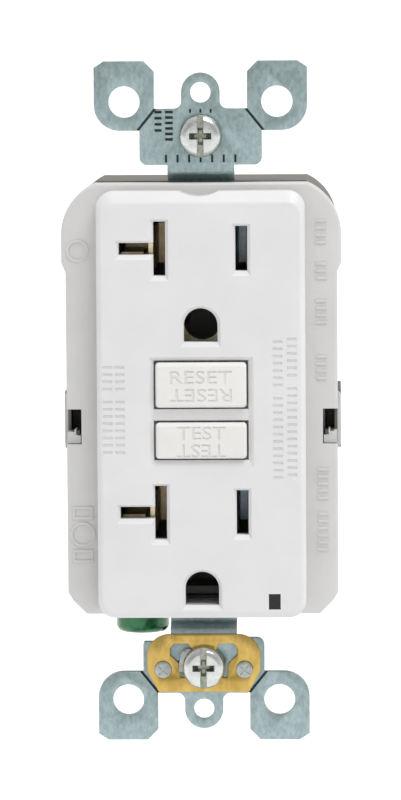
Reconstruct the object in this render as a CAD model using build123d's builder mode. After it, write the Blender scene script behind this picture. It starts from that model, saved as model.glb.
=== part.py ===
"""Ground fault receptacle: a duplex outlet with reset and test buttons on a steel mounting strap.

Millimetres. +Z is up, the face looks along -Y, and y = 0 is the wall plane behind the strap's ears,
midway between the two screws that hold the strap to its box.
"""
import os

from build123d import *

os.makedirs("parts", exist_ok=True)

# Strap, plate screws and box screws
strap_thickness = 1.3
box_screw_pitch = 83.3
plate_screw_pitch = 96.84
plate_hole_radius = 1.6
pad_half_width = 9.53
pad_inner = 37.15
pad_outer = 45.9
pad_corner = 1.2
corner_notch = 0.6
tab_root_radius = 1.2
neck_half_width = 5.2
neck_length = 9.0
tab_half_width = 3.0
tab_end = 51.5
ear_inner = 7.25
ear_outer = 16.6
ear_low = 42.5
ear_end = 53.3
ear_radius = 4.0
ear_hole_radius = 2.44
ear_hole_x = 11.9
ear_hole_z = 46.97
slot_half_height = 2.0
slot_length = 6.2
score_width = 0.4
score_depth = 0.45

# Housing
body_half_width = 21.15
body_top = 34.55
body_bottom = -32.6
body_corner = 8.3
corner_cut = 0.8
body_wall = 1.7
body_floor = 1.8
body_depth = 24.9
plunger_behind_board = 4.6
coil_clearance = 0.2
coil_rest_half_width = 3.0
cover_overhang = 0.05
cover_wide_overhang = 0.7
cover_top = 34.4
cover_bottom = -33.2
cover_corner = 8.9
face_half_width = 16.2
face_top = 33.3
face_corner = 3.5
face_front = -7.6
face_thickness = 2.4
face_wall = 2.0
flange_front = -2.6
cover_back = 1.1
part_gap = 0.1
fit_gap = 0.25
boss_overhang = 0.55
boss_z = (-7.4, 1.5)
notch_z = (-6.4, -0.9)
hook_height = 2.0
notch_depth = 2.33

# Outlets: two rows of blade slots with a ground hole under each
upper_row = 24.45
outlet_pitch = 41.1
blade_x = 6.35
ground_drop = 11.89
slot_width = 1.85
neutral_slot_height = 8.4
hot_slot_height = 6.95
arm_slot_height = 1.85
arm_slot_end = 12.65
ground_half_width = 2.62
ground_half_height = 2.6
blade_thickness = 1.52
contact_thickness = 0.8
leaf_thickness = 0.7
leaf_height = 6.4

# Buttons
button_half_width = 7.05
reset_z = 3.29
reset_height = 7.6
test_z = -5.37
test_height = 6.2
button_gap = 0.3
button_front = -8.0
reset_travel = 2.5
test_travel = 1.5
skirt_overhang = 0.7

# Depths of the layers behind the face
separator_wall = 1.2
separator_depth = 10.1
board_gap = 2.2
board_thickness = 1.6
running = 0.05

# Mechanism
carriage_travel = 2.5
latch_travel = 1.2
rod_radius = 1.1
head_radius = 1.7
head_length = 1.2
latch_thickness = 0.8
contact_left = 0.05
silver_thickness = 0.8
silver_radius = 1.4

# Terminals
terminal_z = 13.5
terminal_half_height = 5.0
terminal_screw_radius = 2.08
terminal_head_radius = 3.9
terminal_head_height = 2.15
wire_gap = 2.8
clamp_thickness = 1.4
wire_hole_radius = 1.2
wire_offset = 3.5

# Screws
box_head_radius = 3.35
box_head_height = 2.0
box_neck_radius = 1.35
box_thread_radius = 1.75
box_screw_end = 21.0
ground_screw_x = -10.0
ground_screw_y = 9.5
ground_head_radius = 4.2
ground_head_height = 2.6
assembly_radius = 1.4
assembly_head_radius = 2.5
assembly_head_height = 1.4
assembly_boss_radius = 3.4

# Places that follow from the sizes above
cover_half_width = body_half_width + cover_overhang
cover_wide_half_width = body_half_width + cover_wide_overhang
boss_half_width = body_half_width + boss_overhang
notch_inner = cover_half_width - notch_depth
lower_row = upper_row - outlet_pitch
rows = (upper_row, lower_row)
strap_front = cover_back + part_gap
strap_back = strap_front + strap_thickness
body_back = strap_back + body_depth
body_front = cover_back + part_gap
body_inner_floor = body_back - body_floor
cavity_half_width = body_half_width - body_wall
separator_front = strap_back + 0.2
separator_back = separator_front + separator_depth
separator_floor = separator_back - separator_wall
rail_back = separator_floor - part_gap
rail_front = rail_back - contact_thickness
rail_outer = blade_x + 6.05
rail_inner = blade_x + 2.25
line_inner = rail_outer + 0.8
line_outer = line_inner + 3.4
board_front = separator_back + board_gap
board_back = board_front + board_thickness
terminal_outer = body_half_width - terminal_head_height - 0.2
terminal_inner = terminal_outer - 1.0
clamp_outer = terminal_inner - wire_gap
clamp_inner = clamp_outer - clamp_thickness
pocket_inner = clamp_inner - 0.6
pocket_wall = 1.0
terminal_y = separator_back + 4.2
terminal_back = terminal_y + 4.6
wire_x = (clamp_outer + terminal_inner) / 2
body_middle = (body_top + body_bottom) / 2
body_height = body_top - body_bottom
fixed_face = rail_back + silver_thickness
moving_face = fixed_face + carriage_travel + contact_left
bridge_front = moving_face + silver_thickness
bridge_back = bridge_front + contact_thickness
corner_x = body_half_width - 4.0
corner_z = (body_bottom + 6.7, body_top - 6.6)
ground_plate_top = body_bottom - 0.05
ground_plate_bottom = ground_plate_top - strap_thickness


def front_plane(y):
    """Plane across the object at depth y, with sketch x to the right and sketch y up."""
    return Plane.XZ.offset(-y)


def block(x, y, z, mode=Mode.ADD):
    """Box between a low and a high value along each axis."""
    spans = [sorted(pair) for pair in (x, y, z)]
    with Locations(tuple(sum(span) / 2 for span in spans)):
        Box(*[span[1] - span[0] for span in spans], mode=mode)


def bar(axis, centre, radius, span, mode=Mode.ADD):
    """Round bar along axis X, Y or Z; centre gives its other two coordinates in order."""
    low, high = sorted(span)
    middle = list(centre)
    middle.insert("XYZ".index(axis), (low + high) / 2)
    turn = {"X": (0, 90, 0), "Y": (90, 0, 0), "Z": (0, 0, 0)}[axis]
    with Locations(tuple(middle)):
        Cylinder(radius, high - low, rotation=turn, mode=mode)


def both(value):
    """A span of the same length each side of zero."""
    return (-value, value)


def around(centre, half):
    """A span centred on a value."""
    return (centre - half, centre + half)


def side_span(side, inner, outer):
    """A span of x on one side: side is -1 for left and 1 for right."""
    return tuple(sorted((side * inner, side * outer)))


def save(piece, name):
    """Label a finished piece and write its file."""
    piece.part.label = name
    export_step(piece.part, f"parts/{name}.step")


def coil(base, direction, length, radius, wire, turns):
    """Wire coil that starts at base and fills length along direction."""
    start = Vector(*base) + Vector(*direction) * wire
    height = length - 2 * wire
    with BuildLine() as path:
        Helix(pitch=height / turns, height=height, radius=radius, center=start, direction=direction)
    with BuildSketch(Plane(origin=path.line @ 0, z_dir=path.line % 0)) as section:
        Circle(wire)
    sweep(sections=section.sketch, path=path.line, is_frenet=True)


# ---- front cover: flange, raised face, slots and button openings

def cover_outline():
    """Flange outline: flat top with cut-off corner arcs, a wider band under them, tapered bottom."""
    arc_x = cover_wide_half_width - cover_corner
    arc_z = cover_top - cover_corner + corner_cut
    cut_x = arc_x + (cover_corner**2 - (cover_top - arc_z) ** 2) ** 0.5
    step_z = arc_z - 4.3
    with BuildLine() as edge:
        Line((0, cover_top), (cut_x, cover_top))
        RadiusArc((cut_x, cover_top), (cover_wide_half_width, arc_z), cover_corner)
        Polyline(
            (cover_wide_half_width, arc_z),
            (cover_wide_half_width, step_z),
            (cover_half_width, step_z - 1.5),
            (cover_half_width, cover_bottom + 5.0),
            (cover_half_width - 0.6, cover_bottom + 2.4),
            (cover_half_width - 2.9, cover_bottom),
            (0, cover_bottom),
        )
        mirror(about=Plane.YZ)
    make_face(edge.edges())


def blade_cuts(grow):
    """Outline of every blade slot and ground hole, grown by the lead-in bevel."""
    for row in rows:
        arm_inner = blade_x - slot_width / 2
        with Locations((-blade_x, row)):
            Rectangle(slot_width + 2 * grow, neutral_slot_height + 2 * grow)
        with Locations((-(arm_inner + arm_slot_end) / 2, row)):
            Rectangle(arm_slot_end - arm_inner + 2 * grow, arm_slot_height + 2 * grow)
        with Locations((blade_x, row)):
            Rectangle(slot_width + 2 * grow, hot_slot_height + 2 * grow)
        ground = row - ground_drop
        with Locations((0, ground)):
            Circle(ground_half_width + grow)
            with Locations((0, -ground_half_height / 2 - grow / 2)):
                Rectangle(2 * (ground_half_width + grow), ground_half_height + grow)


light_x = (10.37, 12.2)
light_z = (lower_row - 15.2, lower_row - 12.75)
light_pass_x = (light_x[0] - 0.15, light_x[1] + 0.15)
light_pass_z = (light_z[0] - 0.15, light_z[1] + 0.15)
with BuildPart() as front_cover:
    with BuildSketch(front_plane(cover_back)):
        cover_outline()
    extrude(amount=cover_back - flange_front)
    face_middle = (face_top + cover_bottom) / 2
    with BuildSketch(front_plane(flange_front)):
        with Locations((0, face_middle)):
            RectangleRounded(2 * face_half_width, face_top - cover_bottom, face_corner)
    extrude(amount=flange_front - face_front)
    fillet(front_cover.faces().sort_by(Axis.Y)[0].edges(), 0.7)
    block(
        both(face_half_width - face_wall),
        (face_front + face_thickness, cover_back),
        (cover_bottom + face_wall, face_top - face_wall),
        Mode.SUBTRACT,
    )
    with BuildSketch(front_plane(face_front + face_thickness)):
        blade_cuts(0)
    extrude(amount=face_thickness + 1, mode=Mode.SUBTRACT)
    for centre, height in ((reset_z, reset_height), (test_z, test_height)):
        opening = both(button_half_width + button_gap)
        block(opening, (face_front - 1, 0), around(centre, height / 2), Mode.SUBTRACT)
    block(light_x, (face_front - 1, cover_back), light_z, Mode.SUBTRACT)
    for side in (-1, 1):
        notch_x = side_span(side, notch_inner, cover_half_width + 1)
        block(notch_x, (flange_front, cover_back), notch_z, Mode.SUBTRACT)
        for z in corner_z:
            screw_depth = (flange_front + 0.8, cover_back)
            bar("Y", (side * corner_x, z), assembly_radius + running, screw_depth, Mode.SUBTRACT)
save(front_cover, "front_cover")

# ---- indicator light in the lower corner of the face
with BuildPart() as light_pipe:
    block(
        (light_x[0] + running, light_x[1] - running),
        (face_front + 0.3, rail_front - 1.2),
        (light_z[0] + running, light_z[1] - running),
    )
save(light_pipe, "light_pipe")

# ---- buttons: cap, retaining skirt and stem
skirt_front = face_front + face_thickness + part_gap
skirt_back = skirt_front + 1.4
stem_radius = 2.0


def button(height, centre, stem_end):
    """Cap through the face, skirt behind it and a stem along -Y to +Y."""
    with BuildSketch(front_plane(skirt_back)) as cap:
        with Locations((0, centre)):
            RectangleRounded(2 * button_half_width, height - 2 * button_gap, 0.6)
    extrude(cap.sketch, amount=skirt_back - button_front)
    fillet(faces().sort_by(Axis.Y)[0].edges(), 0.5)
    block(
        both(button_half_width + button_gap + skirt_overhang),
        (skirt_front, skirt_back),
        around(centre, height / 2 + 0.35),
    )
    bar("Y", (0, centre), stem_radius, (skirt_back, stem_end))


rod_start = skirt_front
stem_end = skirt_back + 1.6
with BuildPart() as reset_button:
    button(reset_height, reset_z, stem_end)
    bar("Y", (0, reset_z), rod_radius, (rod_start, stem_end), Mode.SUBTRACT)
save(reset_button, "reset_button")

latch_front = board_back + 1.4
latch_back = latch_front + latch_thickness
rod_tip = latch_front - 0.2
with BuildPart() as reset_rod:
    bar("Y", (0, reset_z), rod_radius, (rod_start, rod_tip - head_length))
    bar("Y", (0, reset_z), head_radius, (rod_tip - head_length, rod_tip))
    chamfer(faces().sort_by(Axis.Y)[-1].edges(), 0.35)
save(reset_rod, "reset_rod")

test_stem_end = separator_back - 0.4
test_stem_radius = 1.3
with BuildPart() as test_button:
    button(test_height, test_z, stem_end)
    bar("Y", (0, test_z), test_stem_radius, (stem_end, test_stem_end))
save(test_button, "test_button")

seat_front = separator_front + 0.6
with BuildPart() as reset_spring:
    coil((0, skirt_back, reset_z), (0, 1, 0), seat_front - skirt_back, 2.6, 0.22, 5)
save(reset_spring, "reset_spring")

with BuildPart() as test_spring:
    coil((0, skirt_back, test_z), (0, 1, 0), seat_front - skirt_back, 2.5, 0.2, 5)
save(test_spring, "test_spring")

# ---- mounting strap: pads, break-off ears, plate screw tabs, offset middle and ground leg
window_half_width = button_half_width + button_gap + skirt_overhang - 0.1
window_z = (test_z - test_height / 2 - 0.9, reset_z + reset_height / 2 + 0.5)
strap_rail = 1.7
strap_hole_radius = 3.0
strap_middle_half_width = blade_x - 2.15
joggle_start = pad_inner - 1.3
joggle_end = pad_inner - 2.45
joggle_lead = 0.85


def strap_end(end):
    """Front outline of one end; end is 1 for the top and -1 for the bottom."""
    tab_centre = tab_end - tab_half_width
    with Locations((0, end * (pad_inner + pad_outer) / 2)):
        RectangleRounded(2 * pad_half_width, pad_outer - pad_inner, pad_corner)
    with Locations((0, end * (pad_inner + tab_centre) / 2)):
        Rectangle(2 * tab_half_width, tab_centre - pad_inner)
    with Locations((0, end * tab_centre)):
        Circle(tab_half_width)
    with Locations((0, end * (pad_inner - neck_length / 2 + 1))):
        Rectangle(2 * neck_half_width, neck_length)
    for side in (-1, 1):
        arc_start = (side * ear_outer, end * (ear_low + ear_radius))
        arc_end = (side * (ear_outer - ear_radius), end * ear_low)
        arc_middle = ear_radius * (1 - 0.5**0.5)
        with BuildLine() as edge:
            Polyline(
                arc_end,
                (side * (pad_half_width - 0.3), end * ear_low),
                (side * ear_inner, end * (pad_outer - 1.0)),
                (side * ear_inner, end * (ear_end - 1.65)),
                (side * (ear_inner + 1.62), end * ear_end),
                (side * (ear_outer - 1.5), end * ear_end),
                (side * ear_outer, end * (ear_end - 1.0)),
                arc_start,
            )
            ThreePointArc(arc_start, (side * (ear_outer - arc_middle), end * (ear_low + arc_middle)), arc_end)
        make_face(edge.edges())


with BuildPart() as mounting_strap:
    with BuildSketch(front_plane(strap_back + 1)) as strap_outline:
        for end in (-1, 1):
            strap_end(end)
        tab_roots = strap_outline.vertices().filter_by(
            lambda v: abs(abs(v.X) - tab_half_width) < 0.01 and abs(abs(v.Y) - pad_outer) < 0.01
        )
        fillet(tab_roots, tab_root_radius)
        with Locations((-pad_half_width, -pad_inner)):
            Rectangle(2 * (pad_half_width - neck_half_width - 0.9), 2 * corner_notch, mode=Mode.SUBTRACT)
        Rectangle(2 * strap_middle_half_width, 2 * pad_inner)
        rail_half_width = window_half_width + strap_rail
        with Locations((0, sum(window_z) / 2)):
            Rectangle(2 * rail_half_width, window_z[1] - window_z[0] + 2 * strap_rail)
            Rectangle(2 * window_half_width, window_z[1] - window_z[0], mode=Mode.SUBTRACT)
        for row in rows:
            with Locations((0, row - ground_drop)):
                Circle(strap_hole_radius, mode=Mode.SUBTRACT)
            with Locations((0, row - ground_drop - strap_hole_radius / 2)):
                Rectangle(2 * strap_hole_radius, strap_hole_radius, mode=Mode.SUBTRACT)
        for end in (-1, 1):
            with Locations((0, end * plate_screw_pitch / 2)):
                Circle(plate_hole_radius, mode=Mode.SUBTRACT)
            with Locations((0, end * box_screw_pitch / 2)):
                SlotOverall(slot_length, 2 * slot_half_height, mode=Mode.SUBTRACT)
            with Locations((ear_hole_x, end * ear_hole_z), (-ear_hole_x, end * ear_hole_z)):
                Circle(ear_hole_radius, mode=Mode.SUBTRACT)
    extrude(amount=strap_back + 1 + strap_thickness + 1)
    with BuildSketch(Plane.YZ.offset(-ear_outer - 1)) as side_profile:
        with BuildLine():
            Polyline(
                (0, ear_end + 1),
                (-strap_thickness, ear_end + 1),
                (-strap_thickness, joggle_start),
                (strap_front, joggle_end),
                (strap_front, -joggle_end),
                (-strap_thickness, -joggle_start),
                (-strap_thickness, -ear_end - 1),
                (0, -ear_end - 1),
                (0, -joggle_start - joggle_lead),
                (strap_back, -joggle_end - joggle_lead),
                (strap_back, joggle_end + joggle_lead),
                (0, joggle_start + joggle_lead),
                close=True,
            )
        make_face()
        bends = side_profile.vertices().filter_by(lambda v: abs(v.Y) < pad_inner + 1)
        fillet(bends, 0.8)
    extrude(amount=2 * ear_outer + 2, mode=Mode.INTERSECT)
    for end in (-1, 1):
        for side in (-1, 1):
            low = Vector(side * (pad_half_width + 0.37), -strap_thickness, end * (ear_low - 0.1))
            high = Vector(side * (ear_inner - 0.25), -strap_thickness, end * (pad_outer + 0.1))
            score = Plane(origin=(low + high) / 2, x_dir=high - low, z_dir=(0, -1, 0))
            with BuildSketch(score):
                Rectangle((high - low).length, score_width)
            extrude(amount=-score_depth, mode=Mode.SUBTRACT)
    leg_x = (ground_screw_x - 4.5, ground_screw_x + 4.5)
    leg_root = (leg_x[0], -neck_half_width + 0.5)
    block(leg_root, (strap_front, strap_back), (ground_plate_bottom, ground_plate_top))
    block(leg_x, (strap_front, ground_screw_y + 5.5), (ground_plate_bottom, ground_plate_top))
    bar(
        "Z",
        (ground_screw_x, ground_screw_y),
        terminal_screw_radius + running,
        (ground_plate_bottom - 1, ground_plate_top + 1),
        Mode.SUBTRACT,
    )
save(mounting_strap, "mounting_strap")

# ---- self-grounding clip riveted to the lower pad
clip_thickness = 0.6
clip_rivet_x = 6.4
clip_rivet_z = -42.1
clip_rivet_radius = 1.32
box_z = box_screw_pitch / 2
with BuildPart() as self_ground_clip:
    with BuildSketch(front_plane(-strap_thickness)):
        with BuildLine():
            Line((0, -36.5), (5.5, -36.5))
            RadiusArc((5.5, -36.5), (8.9, -39.4), 3.6)
            Polyline((8.9, -39.4), (8.9, -42.3), (7.1, -45.65), (0, -45.65))
            mirror(about=Plane.YZ)
        make_face()
        with Locations((0, -box_z)):
            Circle(2.05, mode=Mode.SUBTRACT)
        for side in (-1, 1):
            with BuildLine():
                Polyline(
                    (side * 5.3, -38.7),
                    (side * 4.7, -38.0),
                    (side * 2.4, -38.0),
                    (side * 1.9, -39.0),
                    (side * 2.7, -40.4),
                    (side * 2.9, -43.4),
                    (side * 3.7, -43.4),
                    (side * 3.8, -41.2),
                    (side * 5.3, -39.8),
                    close=True,
                )
            make_face(mode=Mode.SUBTRACT)
            with Locations((side * clip_rivet_x, clip_rivet_z)):
                Circle(clip_rivet_radius - 0.25, mode=Mode.SUBTRACT)
    extrude(amount=clip_thickness)
save(self_ground_clip, "self_ground_clip")

# The clip's rivets stand on the pad, and the ground contacts' rivets on the offset middle
with BuildPart() as strap_rivets:
    for side in (-1, 1):
        x = side * clip_rivet_x
        shank = (-strap_thickness - clip_thickness, -strap_thickness)
        bar("Y", (x, clip_rivet_z), clip_rivet_radius - 0.25, shank)
        bar(
            "Y",
            (x, clip_rivet_z),
            clip_rivet_radius,
            (-strap_thickness - clip_thickness - 0.35, -strap_thickness - clip_thickness),
        )
    for row in rows:
        for x in (-2.4, 2.4):
            bar("Y", (x, row - ground_drop + 5.6), 1.0, (strap_front - 0.6, strap_front))
save(strap_rivets, "strap_rivets")

# ---- ground contacts: a plate behind the strap with two leaves that grip the round pin
pin_radius = 2.4


def ground_contact(row, plate_drop, name):
    """Plate with a pin hole and a bowed leaf each side of it, hanging plate_drop below the hole."""
    z = row - ground_drop
    plate_back = strap_back + contact_thickness
    tip = rail_back - 0.4
    with BuildPart() as contact:
        block(both(strap_middle_half_width - 0.2), (strap_back, plate_back), (z - plate_drop, z + 7.4))
        bar("Y", (0, z), 2.95, (strap_back, plate_back), Mode.SUBTRACT)
        for side in (-1, 1):
            with BuildSketch(Plane.XY.offset(z - 0.6)):
                with BuildLine():
                    Polyline(
                        (side * 3.0, plate_back),
                        (side * (pin_radius - 0.3), tip - 2.2),
                        (side * (pin_radius + 0.3), tip),
                        (side * (pin_radius + 0.3 + leaf_thickness), tip),
                        (side * (pin_radius - 0.3 + leaf_thickness), tip - 2.2),
                        (side * (3.0 + leaf_thickness), plate_back),
                        close=True,
                    )
                make_face()
            extrude(amount=4.2)
    save(contact, name)


ground_contact(upper_row, 3.9, "ground_contact_upper")
ground_contact(lower_row, 0.6, "ground_contact_lower")

# ---- neutral and hot contact strips: a flat rail with gripping leaves for each blade
leaf_front = face_front + face_thickness + 0.9
grip = blade_thickness / 2 - 0.06


def leaf(side, inner, outward, row):
    """Upright leaf beside a blade; outward is the direction its lead-in flares."""
    with BuildSketch(Plane.XY.offset(row - leaf_height / 2)) as profile:
        with BuildLine():
            Polyline(
                (side * inner, rail_front),
                (side * inner, leaf_front + 1.4),
                (side * (inner + outward * 0.35), leaf_front),
                (side * (inner + outward * (0.35 + leaf_thickness)), leaf_front),
                (side * (inner + outward * leaf_thickness), leaf_front + 1.4),
                (side * (inner + outward * leaf_thickness), rail_front),
                close=True,
            )
        make_face()
    extrude(profile.sketch, amount=leaf_height)


def contact_strip(side, arms, name):
    """Rail from one outlet to the other with its leaves and the plug contacts' fixed end."""
    base_inner = blade_x - grip - leaf_thickness
    with BuildPart() as strip:
        block(
            side_span(side, rail_inner, rail_outer),
            (rail_front, rail_back),
            (lower_row - leaf_height / 2, upper_row + leaf_height / 2),
        )
        for row in rows:
            rail_x = side_span(side, base_inner, rail_outer)
            block(rail_x, (rail_front, rail_back), around(row, leaf_height / 2))
            leaf(side, blade_x - grip, -1, row)
            leaf(side, blade_x + grip, 1, row)
            if arms:
                for way in (-1, 1):
                    block(
                        side_span(side, rail_inner + 0.3, rail_outer),
                        (leaf_front + 0.8, rail_front),
                        (row + way * grip, row + way * (grip + leaf_thickness)),
                    )
    save(strip, name)


contact_strip(-1, True, "neutral_contact_strip")
contact_strip(1, False, "hot_contact_strip")

# ---- terminals: load plates meet the rails, line plates lead to their own fixed contacts
rail_contact_x = (rail_inner + rail_outer) / 2
line_contact_x = (line_inner + line_outer) / 2
corners = [(side, way) for way in (-1, 1) for side in (-1, 1)]
pole_names = {-1: "neutral", 1: "hot"}
feed_names = {-1: "line", 1: "load"}


def terminal_name(side, way, piece):
    """Name such as line_hot_terminal."""
    return f"{feed_names[way]}_{pole_names[side]}_{piece}"


for side, way in corners:
    middle = way * terminal_z
    with BuildPart() as terminal:
        block(
            side_span(side, terminal_inner, terminal_outer),
            (rail_front, terminal_back),
            around(middle, terminal_half_height),
        )
        foot_inner = rail_outer if way == 1 else line_inner
        block(side_span(side, foot_inner, terminal_outer), (rail_front, rail_back), around(middle, 3.5))
        if way == -1:
            block(side_span(side, line_inner, line_outer), (rail_front, rail_back), (middle, reset_z + 1.8))
        bar(
            "X",
            (terminal_y, middle),
            terminal_screw_radius + running,
            side_span(side, terminal_inner - 1, terminal_outer + 1),
            Mode.SUBTRACT,
        )
    save(terminal, terminal_name(side, way, "terminal"))

    with BuildPart() as clamp:
        block(
            side_span(side, clamp_inner, clamp_outer),
            (terminal_y - 3.6, terminal_back - 0.8),
            around(middle, terminal_half_height - 0.2),
        )
        fillet(edges().filter_by(Axis.X), 0.8)
        bar(
            "X",
            (terminal_y, middle),
            terminal_screw_radius + running,
            side_span(side, clamp_inner - 1, clamp_outer + 1),
            Mode.SUBTRACT,
        )
    save(clamp, terminal_name(side, way, "clamp"))

    head_inner = terminal_outer + running
    head_outer = head_inner + terminal_head_height
    with BuildPart() as screw:
        bar("X", (terminal_y, middle), terminal_screw_radius, side_span(side, clamp_inner - 0.3, head_inner))
        bar("X", (terminal_y, middle), terminal_head_radius, side_span(side, head_inner, head_outer))
        chamfer(faces().sort_by(Axis.X)[-1 if side == 1 else 0].edges(), 0.5)
        block(
            side_span(side, head_outer - 0.9, head_outer + 1),
            around(terminal_y, 0.55),
            around(middle, terminal_head_radius + 1),
            Mode.SUBTRACT,
        )
        block(
            side_span(side, head_outer - 1.4, head_outer + 1),
            around(terminal_y, 1.9),
            around(middle, 0.55),
            Mode.SUBTRACT,
        )
    save(screw, terminal_name(side, way, "screw"))

with BuildPart() as fixed_contacts:
    for side in (-1, 1):
        for x in (rail_contact_x, line_contact_x):
            bar("Y", (side * x, reset_z), silver_radius, (rail_back, fixed_face))
save(fixed_contacts, "fixed_contacts")

# ---- separator: tray that carries the contact strips, with an island under the buttons
island_half_width = 7.4


def housing_outline(inset):
    """Rounded outline of the back body, brought in by inset, with its top cut across the corner arcs."""
    width = 2 * (body_half_width - inset)
    height = body_height + corner_cut - 2 * inset
    with Locations((0, body_middle + corner_cut / 2)):
        RectangleRounded(width, height, body_corner - inset)
    with Locations((0, body_top - inset + corner_cut)):
        Rectangle(width, 2 * corner_cut, mode=Mode.SUBTRACT)


with BuildPart() as separator:
    with BuildSketch(front_plane(separator_back)):
        housing_outline(body_wall + fit_gap)
    extrude(amount=separator_depth)
    with BuildSketch(front_plane(separator_floor)):
        housing_outline(body_wall + fit_gap + separator_wall)
    extrude(amount=separator_depth, mode=Mode.SUBTRACT)
    block(both(island_half_width), (seat_front, separator_back), (window_z[0] + 0.6, window_z[1]))
    for row in rows:
        for side in (-1, 1):
            rib_outer = blade_x - grip - leaf_thickness - 0.35
            block(
                side_span(side, rib_outer - 0.4, rib_outer),
                (separator_front + 0.8, separator_floor),
                around(row, leaf_height / 2),
            )
    bar("Y", (0, reset_z), rod_radius + 0.3, (separator_front, separator_back), Mode.SUBTRACT)
    bar("Y", (0, test_z), test_stem_radius + 0.2, (separator_front, separator_back), Mode.SUBTRACT)
    for centre, radius in ((reset_z, stem_radius + 0.25), (test_z, stem_radius + 0.25)):
        bar("Y", (0, centre), radius, (seat_front, stem_end + reset_travel + 0.3), Mode.SUBTRACT)
    for side in (-1, 1):
        block(
            side_span(side, rail_inner + 0.2, line_outer),
            (separator_floor, separator_back),
            around(reset_z, silver_radius + 0.3),
            Mode.SUBTRACT,
        )
        for z in corner_z:
            through = (separator_front, separator_back)
            bar("Y", (side * corner_x, z), assembly_boss_radius + fit_gap, through, Mode.SUBTRACT)
            block(
                side_span(side, corner_x, cavity_half_width),
                (separator_front, separator_back),
                around(z, assembly_boss_radius + fit_gap),
                Mode.SUBTRACT,
            )
    for side, way in corners:
        block(
            side_span(side, terminal_inner - 0.2, cavity_half_width),
            (rail_front - 0.2, separator_back),
            around(way * terminal_z, terminal_half_height + 0.2),
            Mode.SUBTRACT,
        )
    block(light_pass_x, (separator_front, separator_back), light_pass_z, Mode.SUBTRACT)
    guide_x = 4.9
    guide_z = reset_z + 2.6
    for side in (-1, 1):
        bar("Y", (side * guide_x, guide_z), 1.0, (separator_back, board_back + 6.2))
save(separator, "separator")

# ---- contact carriage, bridges, latch and solenoid
carriage_front = separator_back + carriage_travel + part_gap
carriage_back = latch_back + 1.6
carriage_half_width = 6.8
carriage_z = (reset_z - 6.5, reset_z + 4.8)
arm_end = line_outer
with BuildPart() as contact_carriage:
    block(both(carriage_half_width), (carriage_front, carriage_back), carriage_z)
    block(both(arm_end), (bridge_back, bridge_back + 1.5), around(reset_z, 1.9))
    bar("Y", (0, reset_z), head_radius + 0.2, (carriage_front, carriage_back), Mode.SUBTRACT)
    block(
        both(3.2),
        (latch_front - running, latch_back + running),
        (reset_z - 3.6 - latch_travel - 0.1, carriage_z[1]),
        Mode.SUBTRACT,
    )
    for side in (-1, 1):
        bar("Y", (side * guide_x, guide_z), 1.0 + running, (carriage_front, carriage_back), Mode.SUBTRACT)
        bar("Y", (side * guide_x, guide_z), 1.85, (carriage_front, latch_front - 0.5), Mode.SUBTRACT)
save(contact_carriage, "contact_carriage")

with BuildPart() as carriage_springs:
    for side in (-1, 1):
        coil(
            (side * guide_x, separator_back, guide_z),
            (0, 1, 0),
            latch_front - 0.5 - separator_back,
            1.45,
            0.18,
            4,
        )
save(carriage_springs, "carriage_springs")

with BuildPart() as contact_bridges:
    for side in (-1, 1):
        block(
            side_span(side, rail_contact_x - silver_radius, line_contact_x + silver_radius),
            (bridge_front, bridge_back),
            around(reset_z, silver_radius),
        )
save(contact_bridges, "contact_bridges")

with BuildPart() as moving_contacts:
    for side in (-1, 1):
        for x in (rail_contact_x, line_contact_x):
            bar("Y", (side * x, reset_z), silver_radius, (moving_face, bridge_front))
save(moving_contacts, "moving_contacts")

tab_low = carriage_z[1] + 1.4
plunger_y = board_back + plunger_behind_board
plunger_radius = 1.4
with BuildPart() as latch_plate:
    block(both(3.0), (latch_front, latch_back), (reset_z - 3.6, tab_low + 0.8))
    block(both(3.0), (latch_front - 0.2, plunger_y + carriage_travel + 1.0), (tab_low, tab_low + 0.8))
    bar("Y", (0, reset_z), head_radius + 0.15, (latch_front, latch_back), Mode.SUBTRACT)
    block(
        both(rod_radius + 0.15),
        (latch_front, latch_back),
        (reset_z, reset_z + latch_travel + rod_radius + 0.15),
        Mode.SUBTRACT,
    )
save(latch_plate, "latch_plate")

coil_low = tab_low + 3.2
coil_length = 12.5
yoke_thickness = 0.9
bobbin_radius = 4.2
with BuildPart() as solenoid_bobbin:
    bar("Z", (0, plunger_y), plunger_radius + running + 0.45, (coil_low, coil_low + coil_length))
    bar("Z", (0, plunger_y), bobbin_radius, (coil_low, coil_low + 0.7))
    bar("Z", (0, plunger_y), bobbin_radius, (coil_low + coil_length - 0.7, coil_low + coil_length))
    bar("Z", (0, plunger_y), plunger_radius + running, (coil_low, coil_low + coil_length), Mode.SUBTRACT)
save(solenoid_bobbin, "solenoid_bobbin")

with BuildPart() as solenoid_coil:
    winding = (coil_low + 0.75, coil_low + coil_length - 0.75)
    bar("Z", (0, plunger_y), bobbin_radius - 0.4, winding)
    bar("Z", (0, plunger_y), plunger_radius + running + 0.5, winding, Mode.SUBTRACT)
save(solenoid_coil, "solenoid_coil")

with BuildPart() as solenoid_yoke:
    yoke_z = (coil_low - yoke_thickness - running, coil_low + coil_length + yoke_thickness + running)
    block(both(bobbin_radius + 0.1 + yoke_thickness), around(plunger_y, 3.4), yoke_z)
    block(
        both(bobbin_radius + 0.1),
        around(plunger_y, 4.0),
        (yoke_z[0] + yoke_thickness, yoke_z[1] - yoke_thickness),
        Mode.SUBTRACT,
    )
    bar("Z", (0, plunger_y), plunger_radius + 0.2, yoke_z, Mode.SUBTRACT)
save(solenoid_yoke, "solenoid_yoke")

collar_z = yoke_z[1] + 2.6
with BuildPart() as solenoid_plunger:
    bar("Z", (0, plunger_y), plunger_radius, (tab_low + 0.85, collar_z))
    bar("Z", (0, plunger_y), 2.5, (collar_z, collar_z + 0.8))
save(solenoid_plunger, "solenoid_plunger")

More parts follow.
